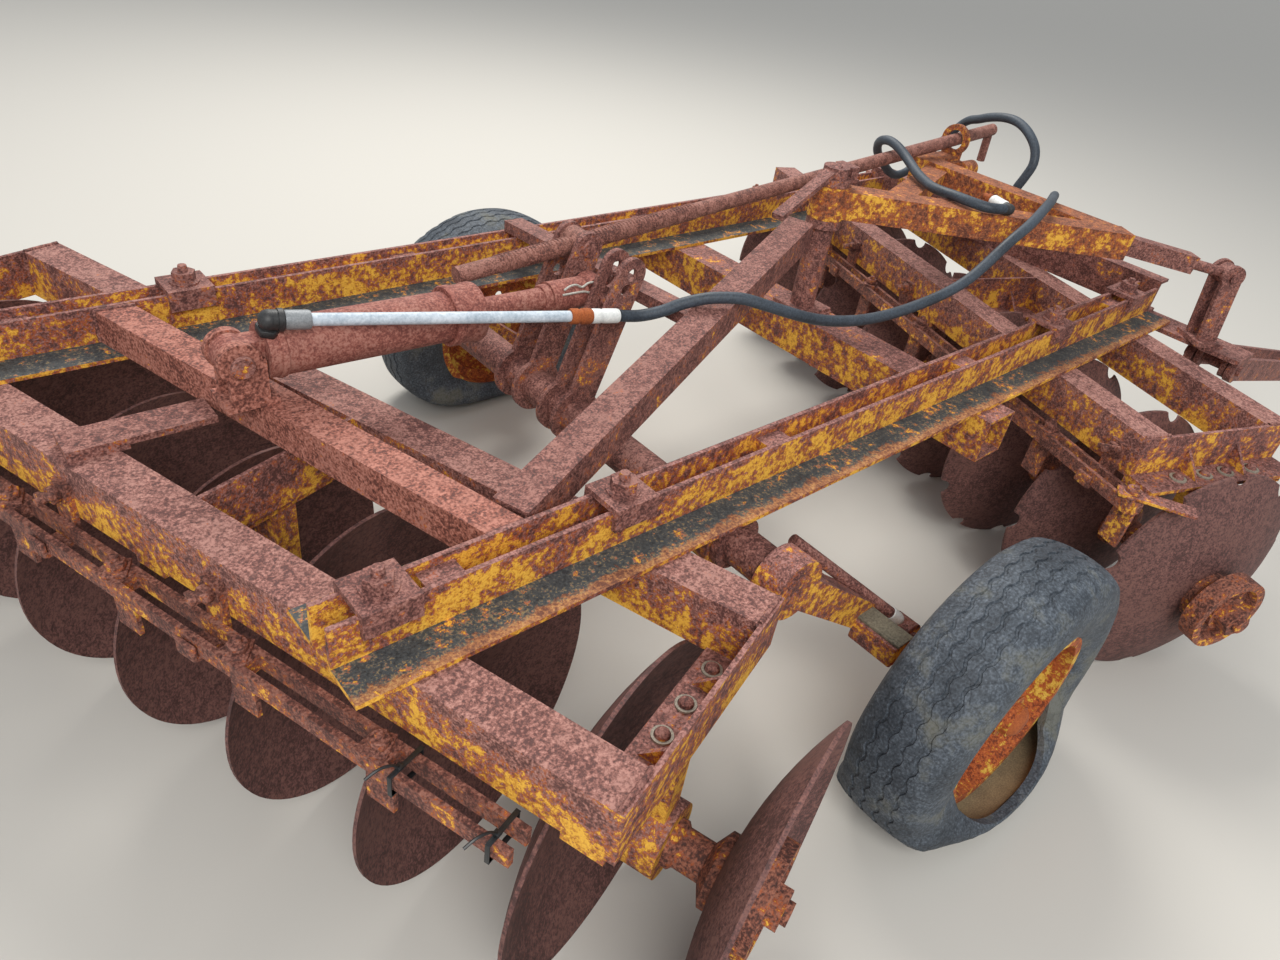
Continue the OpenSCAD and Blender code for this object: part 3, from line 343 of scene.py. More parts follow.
def cracked_rubber(name):
    """Tyre rubber, oxidised blue-grey by sun: fine cracks run through it like dried mud, and
    olive soil dust lies in the broad patches that rain doesn't reach."""
    m, shader = new_material(name)
    place = add(m, "ShaderNodeTexCoord").outputs["Object"]
    broad = cloud(m, place, 110, 6.0, 0.62)
    bent = mix(m, "VECTOR", 0.04, place, broad.node.outputs["Color"])
    cells = add(m, "ShaderNodeTexVoronoi", {"Vector": bent, "Scale": 1000 / 42},
                feature="DISTANCE_TO_EDGE")
    crack = span(m, cells.outputs["Distance"], 0.006, 0.032)
    mottle = mix(m, "FLOAT", 0.5, cloud(m, place, 5, 3.0, 0.6), broad)
    colour = ramp(m, mottle, (0.38, "#2b3037"), (0.5, "#454c54"), (0.62, "#68707a"))
    colour = mix(m, "RGBA", span(m, broad, 0.53, 0.66, 0.0, 0.55), colour, linear("#6b6752"))
    colour = mix(m, "RGBA", 1.0, colour, span(m, crack, 0.0, 1.0, 0.74), "MULTIPLY")
    shader.inputs["Specular IOR Level"].default_value = 0.4
    return finish(m, shader, colour, span(m, broad, 0.3, 0.7, 0.52, 0.8),
                  reckon(m, "ADD", crack, mottle), 0.6, 0.6)


# ---------------------------------------------------------------- materials
YELLOW = ("#cc8a2b", "#edb643")
MAUVE = ("#52322e", "#875850", "#ad7d74")
# Old yellow enamel on rolled angle: much of it left on the webs, little along their top edges
rail_enamel = weathered_steel("flaking_yellow_enamel_on_rails", MAUVE, YELLOW, side=0.487,
                              lichen=True, bands=[(696, 713, 0.0, 0.075)])
# Other painted parts of the frame: about half of the enamel left on upright faces
frame_enamel = weathered_steel("flaking_yellow_enamel", MAUVE, YELLOW)
# The drawbar's frame has lost more of its paint: orange rust shows between the last flakes
drawbar_enamel = weathered_steel("thin_enamel_over_orange_rust",
                                 ("#5a3022", "#8f5539", "#b5764f"), YELLOW, side=0.522)
# Beams: mauve mill rust on top, the last of the enamel low on their sides
beam_rust = weathered_steel("beam_rust_with_enamel_traces", ("#563430", "#8c5e55", "#b38378"),
                            YELLOW, side=0.535, top=0.64, bands=[(545, 625, -0.055, 0.04)])
tie_rust = weathered_steel("tie_rust_with_enamel_traces", MAUVE, YELLOW, side=0.53, top=0.64,
                           bands=[(545, 630, -0.03, 0.03)])
# Bars that kept hardly a flake: matt mauve rust, like fine sandpaper
plain_rust = weathered_steel("matt_mauve_rust", ("#4f2f2b", "#80524a", "#a6766b"), YELLOW,
                             side=0.61, top=0.69)
# The cross tube scaled off last: its rust is fresher and redder
fresh_rust = weathered_steel("fresh_red_rust", ("#5e342c", "#9a5f50", "#bd8070"), YELLOW,
                             side=0.66, top=0.69, grain_mm=5)
# Thin flats of the scrapers rust darker than the thick beams above them
strap_rust = weathered_steel("dark_strap_rust", ("#482a25", "#7b4c41", "#9d6d5e"), YELLOW,
                             side=0.575, top=0.63)
# Carbon steel discs, scoured by soil and then rusted evenly: fine, dark and nearly plain
disc_rust = weathered_steel("scoured_disc_rust", ("#452c29", "#674440", "#7f5850"),
                            grain_mm=4.5, patch_mm=120, bump_mm=0.5)
# Grey iron castings rust coarser than rolled steel
cast_rust = weathered_steel("rusted_grey_iron", ("#4a2b24", "#824f40", "#a86e58"), YELLOW,
                            side=0.57, grain_mm=5, patch_mm=40, bump_mm=2.0)
# Pressed rims: orange rust glows through thin, dull enamel
rim_enamel = weathered_steel("flaking_enamel_over_orange_rust", ("#6a3019", "#a8562b", "#c4743f"),
                             ("#c99a2a", "#dfbb52"), side=0.53, top=0.55)
# Red oxide paint on the cylinder: duller and smoother than the rust around it
cylinder_red = weathered_steel("red_oxide_paint_worn", ("#703c35", "#965a4e", "#b07a6c"),
                               patch_mm=120, bump_mm=0.4)
# Greased thread: fine rust in a finer grain than on the bars
thread_rust = weathered_steel("rust_on_screw_thread", ("#54342f", "#86574b", "#a8776a"),
                              grain_mm=3, patch_mm=50, bump_mm=0.8)
tyre_rubber = cracked_rubber("sun_cracked_tyre_rubber")
# Bare carcass cord and liner inside a torn sidewall: tan and fibrous
tyre_liner = speckled("torn_sidewall_liner", "#6f5d48", "#a08a68", 3, 0.9, bump_mm=0.8)
# Hose cover: black synthetic rubber with a blue-grey bloom
hose_rubber = speckled("hose_cover_rubber", "#262d35", "#46505b", 4, 0.55, bump_mm=0.15,
                       patch_mm=120, specular=0.45)
# Zinc-coated pipe gone chalky
zinc_pipe = speckled("chalky_galvanised_pipe", "#9aa9b6", "#d3dde6", 6, 0.5)
# The hairpin clip's plating: pale, with a soft sheen
plated = speckled("pale_plated_steel", "#a9a49a", "#dcdad2", 3, 0.42, metal=0.25)
# The lock rings' plating: stained brown and duller
dull_plate = speckled("stained_plated_steel", "#6f665a", "#aaa192", 3, 0.6, metal=0.1)
# Ferrules and the round bar's tip: a clean white coat, nearly smooth
white_ferrule = speckled("white_coated_ferrule", "#cfd2d0", "#f0f1ee", 5, 0.45, bump_mm=0.1)
# Cast elbows: black, with the casting's fine grain
black_iron = speckled("blackened_malleable_iron", "#1f1f20", "#37383a", 3, 0.5, bump_mm=0.4)
# The pipe's union: zinc gone flat grey
grey_coupling = speckled("dull_zinc_coupling", "#6d7175", "#94989b", 3, 0.5, metal=0.3)
# Small steel parts without paint: powdery orange rust
orange_rust = speckled("fresh_orange_rust", "#7c3a1d", "#b0602e", 3, 0.85, bump_mm=0.8)
# Grey-brown crust on the strip that never was painted
zinc_strip = speckled("grey_crusted_strip", "#4d4a42", "#8d8571", 5, 0.85, bump_mm=0.8)
# Nylon ties: smooth black with a slight shine
tie_plastic = speckled("black_nylon", "#141618", "#26292c", 4, 0.4, bump_mm=0.05)

for names, material in [
    (("right_rail", "left_rail"), rail_enamel),
    (("cross_beam", "rockshaft_bearings", "wheel_arms"), frame_enamel),
    (("drawbar_frame", "screw_bracket"), drawbar_enamel),
    (("rear_ties", "front_ties"), tie_rust),
    (("cross_tube", "cylinder_anchor"), fresh_rust),
    (("rear_beams", "front_beams", "rear_standards", "front_standards"), beam_rust),
    (("rail_clamps", "front_channel", "anchor_strut", "stay", "post", "low_strut", "link_bar",
      "hitch_plate", "tongue", "mast", "rockshaft", "lift_plates"), plain_rust),
    (("rear_scraper_bars", "rear_scraper_blades", "front_scraper_bars",
      "front_scraper_blades"), strap_rust),
    (("front_discs", "rear_discs"), disc_rust),
    (("front_axle", "rear_axle"), cast_rust),
    (("right_rim", "left_rim"), rim_enamel),
    (("cylinder_barrel", "cylinder_rod"), cylinder_red),
    (("levelling_screw",), thread_rust),
]:
    for name in names:
        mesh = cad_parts[name].data
        mesh.materials.clear()
        mesh.materials.append(material)

# ---------------------------------------------------------------- making pieces


def rod(bm, a, b, radius, sides, far_radius=None):
    """A round bar from a to b."""
    run = b - a
    bmesh.ops.create_cone(
        bm, cap_ends=True, segments=sides, depth=run.length, radius1=radius,
        radius2=radius if far_radius is None else far_radius,
        matrix=Matrix.Translation((a + b) / 2) @ aimed(run),
    )


def stub(bm, where, low, high, radius, sides, far_radius=None):
    """A round bar on a frame's Z axis, from one height to another."""
    rod(bm, where @ Vector((0, 0, low)), where @ Vector((0, 0, high)), radius, sides, far_radius)


def bevel_sharp(bm, verts, width, segments):
    """Rounds the sharp edges among some vertices."""
    inside = set(verts)
    edges = [e for e in bm.edges if e.verts[0] in inside and e.verts[1] in inside
             and len(e.link_faces) == 2 and e.calc_face_angle(0) > 0.6]
    bmesh.ops.bevel(bm, geom=edges, offset=width, segments=segments, profile=0.5,
                    affect="EDGES", material=-1, clamp_overlap=True)


def slab(bm, where, x, y, z, bevel):
    """A flat piece x by y by z, standing on the frame it is given."""
    verts = bmesh.ops.create_cube(
        bm, size=1, matrix=where @ Matrix.Translation((0, 0, z / 2)) @ Matrix.Diagonal((x, y, z, 1))
    )["verts"]
    bevel_sharp(bm, verts, bevel, 2)


def nut(bm, where, across, height):
    """A hexagon nut or bolt head standing on a frame's XY plane."""
    corner = across / 1.732
    verts = bmesh.ops.create_cone(
        bm, cap_ends=True, segments=6, radius1=corner, radius2=corner, depth=height,
        matrix=where @ Matrix.Translation((0, 0, height / 2)),
    )["verts"]
    bevel_sharp(bm, verts, 0.0015, 1)


def bolt_end(bm, where, size, reach):
    """Washer, nut and the threaded end standing out of it."""
    washer = 0.003
    stub(bm, where, 0, washer, size * 1.25, 24)
    nut(bm, where @ Matrix.Translation((0, 0, washer)), size * 1.7, size * 0.8)
    stub(bm, where, washer, reach, size / 2, 14, size / 2 - 0.0012)


def revolve(bm, where, profile, steps):
    """A closed ring of section (radius, height) spun about a frame's Z axis."""
    corners = [bm.verts.new(where @ Vector((r, 0, h))) for r, h in profile]
    edges = [bm.edges.new((corners[i], corners[(i + 1) % len(corners)]))
             for i in range(len(corners))]
    bmesh.ops.spin(bm, geom=corners + edges, cent=where.translation, axis=axis_of(where),
                   angle=math.tau, steps=steps, use_merge=True, use_duplicate=False)


def bent_bar(bm, line, radius, sides):
    """A round bar that follows a line: a disc is extruded from point to point."""
    start = Matrix.Translation(line[0]) @ aimed(line[1] - line[0])
    ring = bmesh.ops.create_circle(bm, cap_ends=True, radius=radius, segments=sides,
                                   matrix=start)["verts"]
    face = ring[0].link_faces[0]
    heading = (line[1] - line[0]).normalized()
    for i in range(1, len(line)):
        after = (line[min(i + 1, len(line) - 1)] - line[i - 1]).normalized()
        made = bmesh.ops.extrude_face_region(bm, geom=[face])["geom"]
        verts = [v for v in made if isinstance(v, bmesh.types.BMVert)]
        bmesh.ops.delete(bm, geom=[face], context="FACES_ONLY")
        face = next(f for f in made if isinstance(f, bmesh.types.BMFace))
        turn = heading.rotation_difference(after).to_matrix()
        bmesh.ops.translate(bm, verts=verts, vec=line[i] - line[i - 1])
        bmesh.ops.rotate(bm, verts=verts, cent=line[i], matrix=turn)
        heading = after


def piece(name, bm, body, slot, *materials, sharp=35.0):
    """Makes a mesh object that rides on a CAD body and takes the materials it is given. The slot
    argument is not used.
    """
    bmesh.ops.remove_doubles(bm, verts=bm.verts, dist=1e-6)
    bmesh.ops.recalc_face_normals(bm, faces=bm.faces)
    mesh = bpy.data.meshes.new(name)
    bm.to_mesh(mesh)
    bm.free()
    for face in mesh.polygons:
        face.use_smooth = True
    mesh.set_sharp_from_angle(angle=math.radians(sharp))
    for material in materials:
        mesh.materials.append(material)
    made = bpy.data.objects.new(name, mesh)
    show(made)
    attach(made, body)
    return made


# ---------------------------------------------------------------- hydraulic hose and its ends
route = [spot(*point) for point in HOSE_ROUTE]
hose_line = smooth_line(route)
hose_curve = bpy.data.curves.new("hose_tube", "CURVE")
hose_curve.dimensions = "3D"
hose_curve.bevel_depth = HOSE_D / 2
hose_curve.bevel_resolution = 5
hose_curve.use_fill_caps = True
spline = hose_curve.splines.new("POLY")
spline.points.add(len(hose_line) - 1)
for point, place in zip(spline.points, hose_line):
    point.co = (*place, 1)
spline.use_smooth = True
hose = bpy.data.objects.new("hose_tube", hose_curve)
show(hose)
hose_curve.materials.append(hose_rubber)
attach(hose, "root")
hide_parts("hose")

# A black elbow, a white crimped ferrule and a rusty nipple, in line along the cross bar
last_heading = (route[-1] - route[-2]).normalized()
elbow_spot = route[-1] + 0.015 * last_heading
fitting_turn = math.radians(69)
fitting_way = Vector((math.cos(fitting_turn), math.sin(fitting_turn), 0))
bm = bmesh.new()
rod(bm, route[-1] + 0.0006 * last_heading, elbow_spot, 0.0118, 24)
bmesh.ops.create_uvsphere(bm, u_segments=24, v_segments=14, radius=0.0135,
                          matrix=Matrix.Translation(elbow_spot))
rod(bm, elbow_spot, elbow_spot + fitting_way * 0.016, 0.0128, 24)
hose_elbow = piece("hose_elbow", bm, "root", "hose_fittings", black_iron)
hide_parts("hose_ends")
bm = bmesh.new()
sleeve = Matrix.Translation(elbow_spot) @ aimed(fitting_way)
revolve(bm, sleeve, [(0.006, 0.0145), (0.0128, 0.0145), (0.0142, 0.017), (0.0142, 0.024),
                     (0.0134, 0.0255), (0.0134, 0.030), (0.0142, 0.0315), (0.0142, 0.038),
                     (0.0134, 0.0395), (0.0134, 0.044), (0.0142, 0.0455), (0.0142, 0.057),
                     (0.0128, 0.060), (0.006, 0.060)], 32)
hose_ferrule = piece("hose_ferrule", bm, "root", "hose_fittings", white_ferrule)
bm = bmesh.new()
nut(bm, sleeve @ Matrix.Translation((0, 0, 0.0665)), 0.0215, 0.012)
stub(bm, sleeve, 0.059, 0.0905, 0.008, 18)
hose_nipple = piece("hose_nipple", bm, "root", "hose_fittings", orange_rust)

# ---------------------------------------------------------------- oil pipe on the cylinder
pipe_run = PIPE_TO - PIPE_FROM
pipe_start = CYLINDER @ Matrix.Translation(PIPE_FROM) @ aimed(pipe_run)
pipe_end = pipe_start @ Matrix.Translation((0, 0, pipe_run.length))
bm = bmesh.new()
stub(bm, pipe_start, 0.03, pipe_run.length, 0.0105, 28)
oil_pipe = piece("zinc_oil_pipe", bm, "cylinder", "galvanised_pipe", zinc_pipe)
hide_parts("oil_pipe")
# The elbow stands on a boss on the barrel
boss_foot = CYLINDER @ Vector((PIPE_FROM.x, PIPE_FROM.y * 0.62, PIPE_FROM.z * 0.62))
bm = bmesh.new()
bmesh.ops.create_uvsphere(bm, u_segments=28, v_segments=16, radius=0.017, matrix=pipe_start)
rod(bm, boss_foot, pipe_start.translation, 0.0145, 28)
nut(bm, Matrix.Translation(boss_foot) @ aimed(pipe_start.translation - boss_foot), 0.034, 0.014)
stub(bm, pipe_start, 0, 0.014, 0.0165, 28)
revolve(bm, pipe_start, [(0.009, 0.012), (0.0185, 0.012), (0.0185, 0.02), (0.0165, 0.022),
                         (0.009, 0.022)], 32)
piece("pipe_elbow", bm, "cylinder", "cylinder_steel", black_iron)
for name, material, where, profile in (
    ("pipe_union", grey_coupling, pipe_start,
     [(0.009, 0.022), (0.0148, 0.022), (0.0156, 0.025), (0.0156, 0.058), (0.0146, 0.062),
      (0.009, 0.062)]),
    ("pipe_coupling", orange_rust, pipe_end,
     [(0.009, -0.022), (0.0135, -0.022), (0.015, -0.019), (0.015, -0.006), (0.0135, -0.004),
      (0.0135, 0.002), (0.0155, 0.004), (0.0155, 0.018), (0.0138, 0.0235), (0.009, 0.0235)]),
    ("pipe_ferrule", white_ferrule, pipe_end,
     [(0.006, 0.0235), (0.013, 0.0235), (0.0142, 0.027), (0.0142, 0.043), (0.0133, 0.045),
      (0.0133, 0.049), (0.0142, 0.051), (0.0142, 0.080), (0.0135, 0.0835), (0.006, 0.0835)]),
):
    bm = bmesh.new()
    revolve(bm, where, profile, 32)
    piece(name, bm, "cylinder", "galvanised_pipe", material)

# ---------------------------------------------------------------- tyres
# Lines of the tyre's section, as (distance across, radius) in mm: a side from the bead out to
# the tread, and the hollow inside from side to side
SIDEWALL = [(73, 196), (82, 206), (91, 226), (96, 248), (97, 270), (95, 292), (90, 309), (84, 319)]
CAVITY = [(58, 202), (74, 232), (80, 262), (76, 296), (40, 326), (-40, 326), (-76, 296),
          (-80, 262), (-74, 232), (-58, 202)]
CROWN = 345
TYRE_STEPS = 176
# Both tyres are flat: what lies below this height is pressed together above the ground. A round
# tyre's lowest point lies this much deeper
PRESSED_BELOW = 0.118
PRESSED_DEPTH = 0.225
# The torn wall hangs free inside this radius
FREE_RADIUS = 0.30


def tread_section(step):
    """The worn tread's line across the tyre: shallow grooves that wander and cut shoulders."""
    shift = 3.5 if (step // 2) % 2 else -3.5
    cut = 4.5 if step % 4 == 0 else 0.0
    points = [(-80, 326 - cut), (-72, 331 - cut)]
    for groove in (-44, -15, 15, 44):
        for off, depth in ((-4, 0), (-2.2, 3.2), (2.2, 3.2), (4, 0)):
            across = groove + off + shift
            points.append((across, CROWN - (across / 74) ** 2 * 13 - depth))
    return points + [(60, 336.5), (72, 331 - cut), (80, 326 - cut)]


def make_tyre(name, side, node, body, torn):
    """A tyre bridged round from its sections, then let down on the ground by its own weight.
    The outer wall of the torn one has left its rim at the bottom and leans out."""
    bm = bmesh.new()
    hub = spot(HUB[0], side * HUB[1], HUB[2])
    rings = []
    for i in range(TYRE_STEPS):
        section = [(-a, r) for a, r in SIDEWALL] + tread_section(i) + SIDEWALL[::-1] + CAVITY
        angle = math.tau * i / TYRE_STEPS
        ring = [bm.verts.new((r * math.cos(angle) / 1000, side * a / 1000,
                              r * math.sin(angle) / 1000)) for a, r in section]
        rings.append([bm.edges.new((ring[k], ring[(k + 1) % len(ring)]))
                      for k in range(len(ring))])
    for i in range(TYRE_STEPS):
        bmesh.ops.bridge_loops(bm, edges=rings[i] + rings[(i + 1) % TYRE_STEPS])
    for face in bm.faces:
        # The liner covers the faces of the hollow
        middle = face.calc_center_median()
        reach = math.hypot(middle.x, middle.z)
        roof = 0.3275 if abs(middle.y) < 0.055 else 0.314
        face.material_index = int(abs(middle.y) < 0.0815 and 0.238 < reach < roof)
    bmesh.ops.translate(bm, verts=bm.verts, vec=hub)
    for v in bm.verts:
        out = v.co - hub
        across = out.y * side
        out.y = 0
        radius = out.length
        if torn and across > 0.05 and radius < FREE_RADIUS:
            # The loose wall leans outwards most at its bead, and drops a little
            low = max(0.0, -out.z / radius - 0.25) / 0.75
            lean = low**0.8 * (FREE_RADIUS - radius) / 0.10
            v.co.y += side * 0.058 * lean
            v.co.z -= 0.030 * lean
        below = PRESSED_BELOW - v.co.z
        if below > 0:
            # Pressed down, the walls bulge out
            deep = min(1.0, below / PRESSED_DEPTH)
            v.co.z = PRESSED_BELOW * (1 - deep) ** 1.3
            bulge = math.sin(math.pi * min(1, deep * 1.15)) * min(1, abs(across) / 0.06)
            v.co.y += math.copysign(0.026 * bulge, side * across)
        if radius > 0.23:
            # Old rubber isn't quite round
            v.co += out.normalized() * (noise.noise(v.co * 9) * 0.0022)
        v.co.z = max(v.co.z, 0.0005)
    made = piece(name, bm, body, "tyre", tyre_rubber, tyre_liner, sharp=30)
    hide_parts(node)


make_tyre("right_tyre_worn", -1, "right_tyre", "right_wheel", True)
make_tyre("left_tyre_worn", 1, "left_tyre", "left_wheel", False)

# Wheel nuts on a ring in the dish, and a low hub cap
WHEEL_NUTS = 5
for name, side, body in (("wheel_nuts_right", -1, "right_wheel"),
                         ("wheel_nuts_left", 1, "left_wheel")):
    face = Matrix.Translation(spot(HUB[0], side * HUB[1], HUB[2])) @ turned(-90 * side, "X")
    bm = bmesh.new()
    for i in range(WHEEL_NUTS):
        around = turned(360 / WHEEL_NUTS * (i + 0.5), "Z")
        bolt_end(bm, face @ around @ moved(62, 0, -18.3), 0.014, 0.02)
    revolve(bm, face, [(0.0, 0.079), (0.0, 0.096), (0.020, 0.094), (0.030, 0.087),
                       (0.034, 0.079)], 32)
    piece(name, bm, body, "wheel_rim", orange_rust)

# ---------------------------------------------------------------- bolts on the frame
# Where a rail crosses a gang's beam, a bolt's end and its washer stick out of the clamp's nut
CLAMP_PLATE = 10
CLAMP_NUT = 22
# The rails have no clamp in front of this x
FOREMOST_CLAMP_X = 1190
bm = bmesh.new()
for (gang_x, gang_y), slant in ((REAR_XY, REAR_SLANT), (FRONT_XY, FRONT_SLANT)):
    slant = math.radians(slant)
    for side in (-1, 1):
        for beam in (-1, 1):
            y = side * RAIL_Y
            x = gang_x + beam * BEAM_X / math.cos(slant) - (y - gang_y) * math.tan(slant)
            if x < FOREMOST_CLAMP_X:
                top = placed(x, y, RAIL_TOP + CLAMP_PLATE + CLAMP_NUT)
                stub(bm, top, 0, 0.012, 0.0095, 16, 0.008)
                stub(bm, top, -0.022, -0.0185, 0.027, 24)
piece("clamp_bolt_ends", bm, "root", "rusted_steel", plain_rust)

# Pairs of bolts come down through the gang beams into the standards
bm = bmesh.new()
for gang, shift in ((REAR_GANG, REAR_SHIFT), (FRONT_GANG, FRONT_SHIFT)):
    for y in (-801, 0, 801):
        for x in (-BEAM_X, BEAM_X):
            for across in (-17, 17):
                foot = gang @ moved(x, y + shift + across, BEAM_BOTTOM - 14) @ turned(180, "X")
                bolt_end(bm, foot, 0.016, 0.022)
piece("standard_bolts", bm, "root", "rusted_steel", strap_rust)

# The ties' foot flanges are bolted down: dull round heads in thin, pale lock rings
rings = bmesh.new()
heads = bmesh.new()
for gang, y, ring_radius in ((REAR_GANG, -840, 0.0165), (FRONT_GANG, -920, 0.0185)):
    for x in (-116, -34, 34, 116):
        head = gang @ moved(x, y, BEAM_BOTTOM + 8)
        revolve(rings, head, [(0.0125, 0.0), (0.0125, 0.0034), (ring_radius, 0.0034),
                              (ring_radius, 0.0)], 32)
        revolve(heads, head, [(0.0, 0.0), (0.0, 0.0125), (0.006, 0.0118), (0.0105, 0.008),
                              (0.0122, 0.0)], 24)
piece("tie_lock_rings", rings, "root", "rusted_steel", dull_plate)
piece("tie_bolt_heads", heads, "root", "rusted_steel", plain_rust)

# ---------------------------------------------------------------- weld beads


BEAD_RADIUS = 0.0045
BEAD_STEP = 0.007
BEAD_WANDER = 0.0009
# Without a seed the vector noise, and with it the beads, would change from run to run
noise.seed_set(7)


def weld(bm, where, corners):
    """A hand-laid bead along a line of corners in mm, lumpy every few millimetres."""
    corners = [where @ (Vector(c) / 1000) for c in corners]
    line = []
    for a, b in zip(corners, corners[1:]):
        steps = max(2, round((b - a).length / BEAD_STEP))
        line += [a.lerp(b, k / steps) for k in range(steps)]
    line.append(corners[-1])
    bent_bar(bm, [p + BEAD_WANDER * noise.noise_vector(p * 150) for p in line], BEAD_RADIUS, 8)


bm = bmesh.new()
# Round the post's foot
weld(bm, HOME, [(POST[0] + x, POST[1] + y, FLANGE_Z + 1) for x, y in
                ((-48, -55), (48, -55), (48, 55), (-48, 55), (-48, -50))])
# Over the cross tube where it meets the rails
for side, tube_x in ((-1, -905), (1, -1167)):
    weld(bm, HOME, [(tube_x + x, side * 446, z) for x, z in
                    ((-33, 648), (-33, 709), (33, 709), (33, 648))])
# Where the ties meet the beams
for gang, y in ((REAR_GANG, -880), (REAR_GANG, 880), (FRONT_GANG, -880)):
    inner = y - math.copysign(1, y)
    for way in (-1, 1):
        weld(bm, gang, [(way * 153, inner, 548), (way * 153, inner, 637)])
        weld(bm, gang, [(way * 156, y, 638), (way * 228, y, 638)])
piece("weld_beads", bm, "root", "rusted_steel", plain_rust, sharp=60)

# ---------------------------------------------------------------- scrapers
# Two bars run behind each gang: x of the line between them, heights of their foot and top
BARS_X = -264
BARS_FOOT = 500
BARS_TOP = 530
BLADE_OFF_DISC = 104
# The blades' clamps: the first disc that has one, and the side on which its hollow lies
bm = bmesh.new()
for gang, shift, first, hollow in ((REAR_GANG, REAR_SHIFT, 2, -1), (FRONT_GANG, FRONT_SHIFT, 0, 1)):
    for i in range(first, N_DISCS):
        y = shift + DISC_PITCH * (i - (N_DISCS - 1) / 2) + hollow * BLADE_OFF_DISC
        clamp = gang @ moved(BARS_X, y, BARS_TOP)
        slab(bm, clamp @ turned(11 * i, "Z"), 0.042, 0.034, 0.006, 0.0015)
        nut(bm, clamp @ Matrix.Translation((0, 0, 0.006)) @ turned(17 * i, "Z"), 0.027, 0.014)
        stub(bm, clamp, 0.018, 0.028, 0.0075, 14, 0.006)
piece("scraper_clamp_bolts", bm, "root", "rusted_steel", strap_rust)

# Straps hold the bars: each has a bolt with a winged nut, and a lip hooked round the outer bar
bm = bmesh.new()
for gang, straps in ((REAR_GANG, (-200, 150, 420)), (FRONT_GANG, (-835, -10, 290, 800))):
    for y in straps:
        face = gang @ moved(-240.5, y, 584) @ turned(-90, "Y")
        bolt_end(bm, face, 0.016, 0.036)
        slab(bm, face @ moved(4, 0, 16) @ turned(24, "Z"), 0.012, 0.056, 0.010, 0.003)
        slab(bm, gang @ moved(-293, y, BARS_FOOT - 8), 0.008, 0.040, 0.030, 0.0035)
piece("strap_bolts_and_lips", bm, "root", "rusted_steel", strap_rust)

# A flat arm bolted on the front bars' near ends reaches out over the last disc
bm = bmesh.new()
arm = FRONT_GANG @ moved(-262, -938, 530.5) @ turned(-42, "Z")
slab(bm, arm @ moved(50, 0, 0), 0.160, 0.040, 0.008, 0.002)
bolt_end(bm, arm @ moved(-4, 0, 7.5), 0.014, 0.018)
piece("scraper_end_arm", bm, "root", "worn_yellow_paint", frame_enamel)

# Nylon ties round the two bars near their free ends: four sides, a lock and a loose tail
bm = bmesh.new()
for y in (-590, -748):
    loop = REAR_GANG @ moved(BARS_X, y, (BARS_FOOT + BARS_TOP) / 2)
    for x, z, width, height in ((0, 17.5, 0.062, 0.0016), (0, -19.1, 0.062, 0.0016),
                                (-30.2, -17.5, 0.0016, 0.035), (28.6, -17.5, 0.0016, 0.035)):
        slab(bm, loop @ moved(x, 0, z), width, 0.0075, height, 0.0005)
    slab(bm, loop @ moved(-12, 0, 19), 0.009, 0.010, 0.005, 0.0008)
    tail = [(-0.012, 0, 0.022), (-0.024, 0.004, 0.034), (-0.040, 0.010, 0.037),
            (-0.056, 0.016, 0.030)]
    bent_bar(bm, smooth_line([loop @ Vector(p) for p in tail]), 0.0021, 6)
piece("nylon_ties", bm, "root", "hose_rubber", tie_plastic)

# ---------------------------------------------------------------- cylinder and lift
along = CYLINDER @ turned(90, "Y")
bm = bmesh.new()
revolve(bm, along, [(0.047, 0.376), (0.0535, 0.376), (0.0555, 0.379), (0.0555, 0.392),
                    (0.0535, 0.395), (0.0535, 0.420), (0.0555, 0.423), (0.0555, 0.436),
                    (0.0535, 0.4395), (0.047, 0.4395)], 56)
revolve(bm, along, [(0.0455, 0.062), (0.0485, 0.062), (0.0495, 0.066), (0.0485, 0.072),
                    (0.0455, 0.074)], 56)
piece("cylinder_gland_rings", bm, "cylinder", "cylinder_steel", cylinder_red)
bm = bmesh.new()
revolve(bm, along, [(0.0221, PIN_TO_PIN - 0.127), (0.0221, PIN_TO_PIN - 0.1115),
                    (0.0275, PIN_TO_PIN - 0.1115), (0.0275, PIN_TO_PIN - 0.124),
                    (0.0255, PIN_TO_PIN - 0.127)], 40)
piece("rod_stop_collar", bm, "rod", "cylinder_steel", cylinder_red)
bm = bmesh.new()
for side in (-1, 1):
    head = placed(ANCHOR_PIN[0], CYLINDER_Y + side * 42, ANCHOR_PIN[1], -90 * side, "X")
    revolve(bm, head, [(0, 0), (0, 0.007), (0.017, 0.007), (0.019, 0.004), (0.019, 0.0)], 28)
piece("anchor_pin_heads", bm, "root", "rusted_steel", plain_rust)
clip = CYLINDER @ Matrix.Translation((PIN_TO_PIN - 0.030, -0.0305, 0.020))
wire = [(-0.062, 0, 0.006), (-0.05, 0, 0.012), (-0.034, 0, 0.013), (-0.018, 0, 0.006),
        (-0.004, 0, 0.012), (0.010, 0, 0.012), (0.020, 0, 0.004), (0.016, 0, -0.006),
        (0.004, 0, -0.009), (-0.010, 0, -0.005), (-0.026, 0, -0.004), (-0.046, 0, -0.004),
        (-0.064, 0, -0.004)]
bm = bmesh.new()
bent_bar(bm, smooth_line([clip @ Vector(p) for p in wire]), 0.0022, 8)
piece("hairpin_clip", bm, "rod", "rusted_steel", plated)

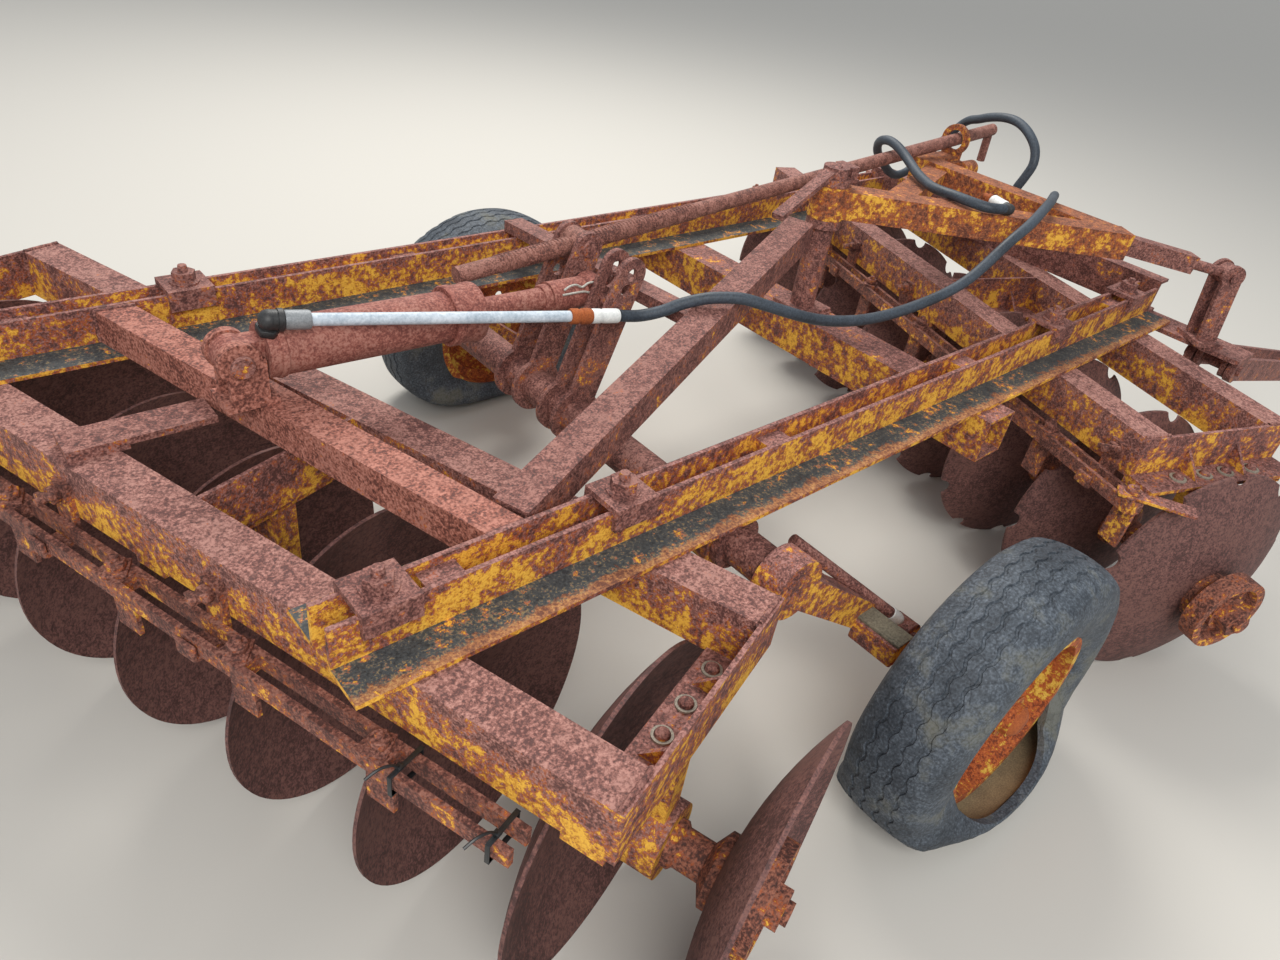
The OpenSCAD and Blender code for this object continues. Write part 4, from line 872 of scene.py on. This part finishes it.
# Heads of the pins through the lift plates, as (y, distance up the plates, side)
bm = bmesh.new()
for y, up_plate, side in ((167, 312, 1), (89, 312, -1), (115, 242, 1)):
    foot = LIFT_PLATES @ moved(0, y, up_plate) @ turned(-90 * side, "X")
    revolve(bm, foot, [(0, 0), (0, 0.005), (0.016, 0.005), (0.018, 0.002), (0.018, 0.0)], 28)
piece("lift_pin_ends", bm, "lift", "rusted_steel", plain_rust)

# The levelling screw's thread: a ridge spun along the screw
THREAD_PITCH = 0.0085
THREAD_TURNS = 62
STEPS_A_TURN = 18
bm = bmesh.new()
start = SCREW @ turned(90, "Y") @ moved(0, 0, -200)
ridge = [bm.verts.new(start @ Vector((r, 0, h))) for r, h in
         ((0.0165, -0.0028), (0.0192, -0.0008), (0.0192, 0.0008), (0.0165, 0.0028))]
edges = [bm.edges.new(pair) for pair in zip(ridge, ridge[1:])]
bmesh.ops.spin(bm, geom=ridge + edges, cent=start.translation, axis=axis_of(start),
               dvec=axis_of(start) * (THREAD_PITCH / STEPS_A_TURN), use_merge=False,
               angle=math.tau * THREAD_TURNS, steps=STEPS_A_TURN * THREAD_TURNS,
               use_duplicate=False)
piece("screw_thread", bm, "screw", "rusted_steel", thread_rust, sharp=50)

# ---------------------------------------------------------------- by the right wheel's arm
# A round bar lies across the arm, its far end dipped in white
bar_from = spot(-326, -552, 508)
bar_to = spot(-103, -701, 312)
bm = bmesh.new()
rod(bm, bar_from, bar_to, 0.0125, 24)
piece("arm_round_bar", bm, "lift", "rusted_steel", plain_rust)
bm = bmesh.new()
revolve(bm, Matrix.Translation(bar_to) @ aimed(bar_to - bar_from),
        [(0.0, 0.020), (0.006, 0.019), (0.0115, 0.014), (0.0140, 0.005), (0.0140, -0.018),
         (0.0124, -0.020), (0.0, -0.020)], 28)
piece("bar_white_tip", bm, "lift", "rusted_steel", white_ferrule)
# A box spacer stands out from the arm towards the wheel, under a flat grey cover strip
bm = bmesh.new()
slab(bm, placed(-192, -724, 298), 0.062, 0.104, 0.050, 0.004)
piece("arm_box_spacer", bm, "lift", "worn_yellow_paint", frame_enamel)
bm = bmesh.new()
slab(bm, placed(-192, -721, 348), 0.050, 0.112, 0.007, 0.002)
piece("arm_cover_strip", bm, "lift", "rusted_steel", zinc_strip)

# ---------------------------------------------------------------- floor
FLOOR_HALF = 90
bm = bmesh.new()
bmesh.ops.create_grid(bm, x_segments=1, y_segments=1, size=FLOOR_HALF, matrix=moved(0, 0, -0.5))
floor_mesh = bpy.data.meshes.new("floor")
bm.to_mesh(floor_mesh)
bm.free()
floor = bpy.data.objects.new("floor", floor_mesh)
show(floor)
floor_paint, floor_shader = new_material("pale_studio_floor")
floor_shader.inputs["Base Color"].default_value = linear("#c9c6bf")
floor_shader.inputs["Roughness"].default_value = 0.9
floor_mesh.materials.append(floor_paint)

bpy.context.scene.view_settings.view_transform = "Standard"
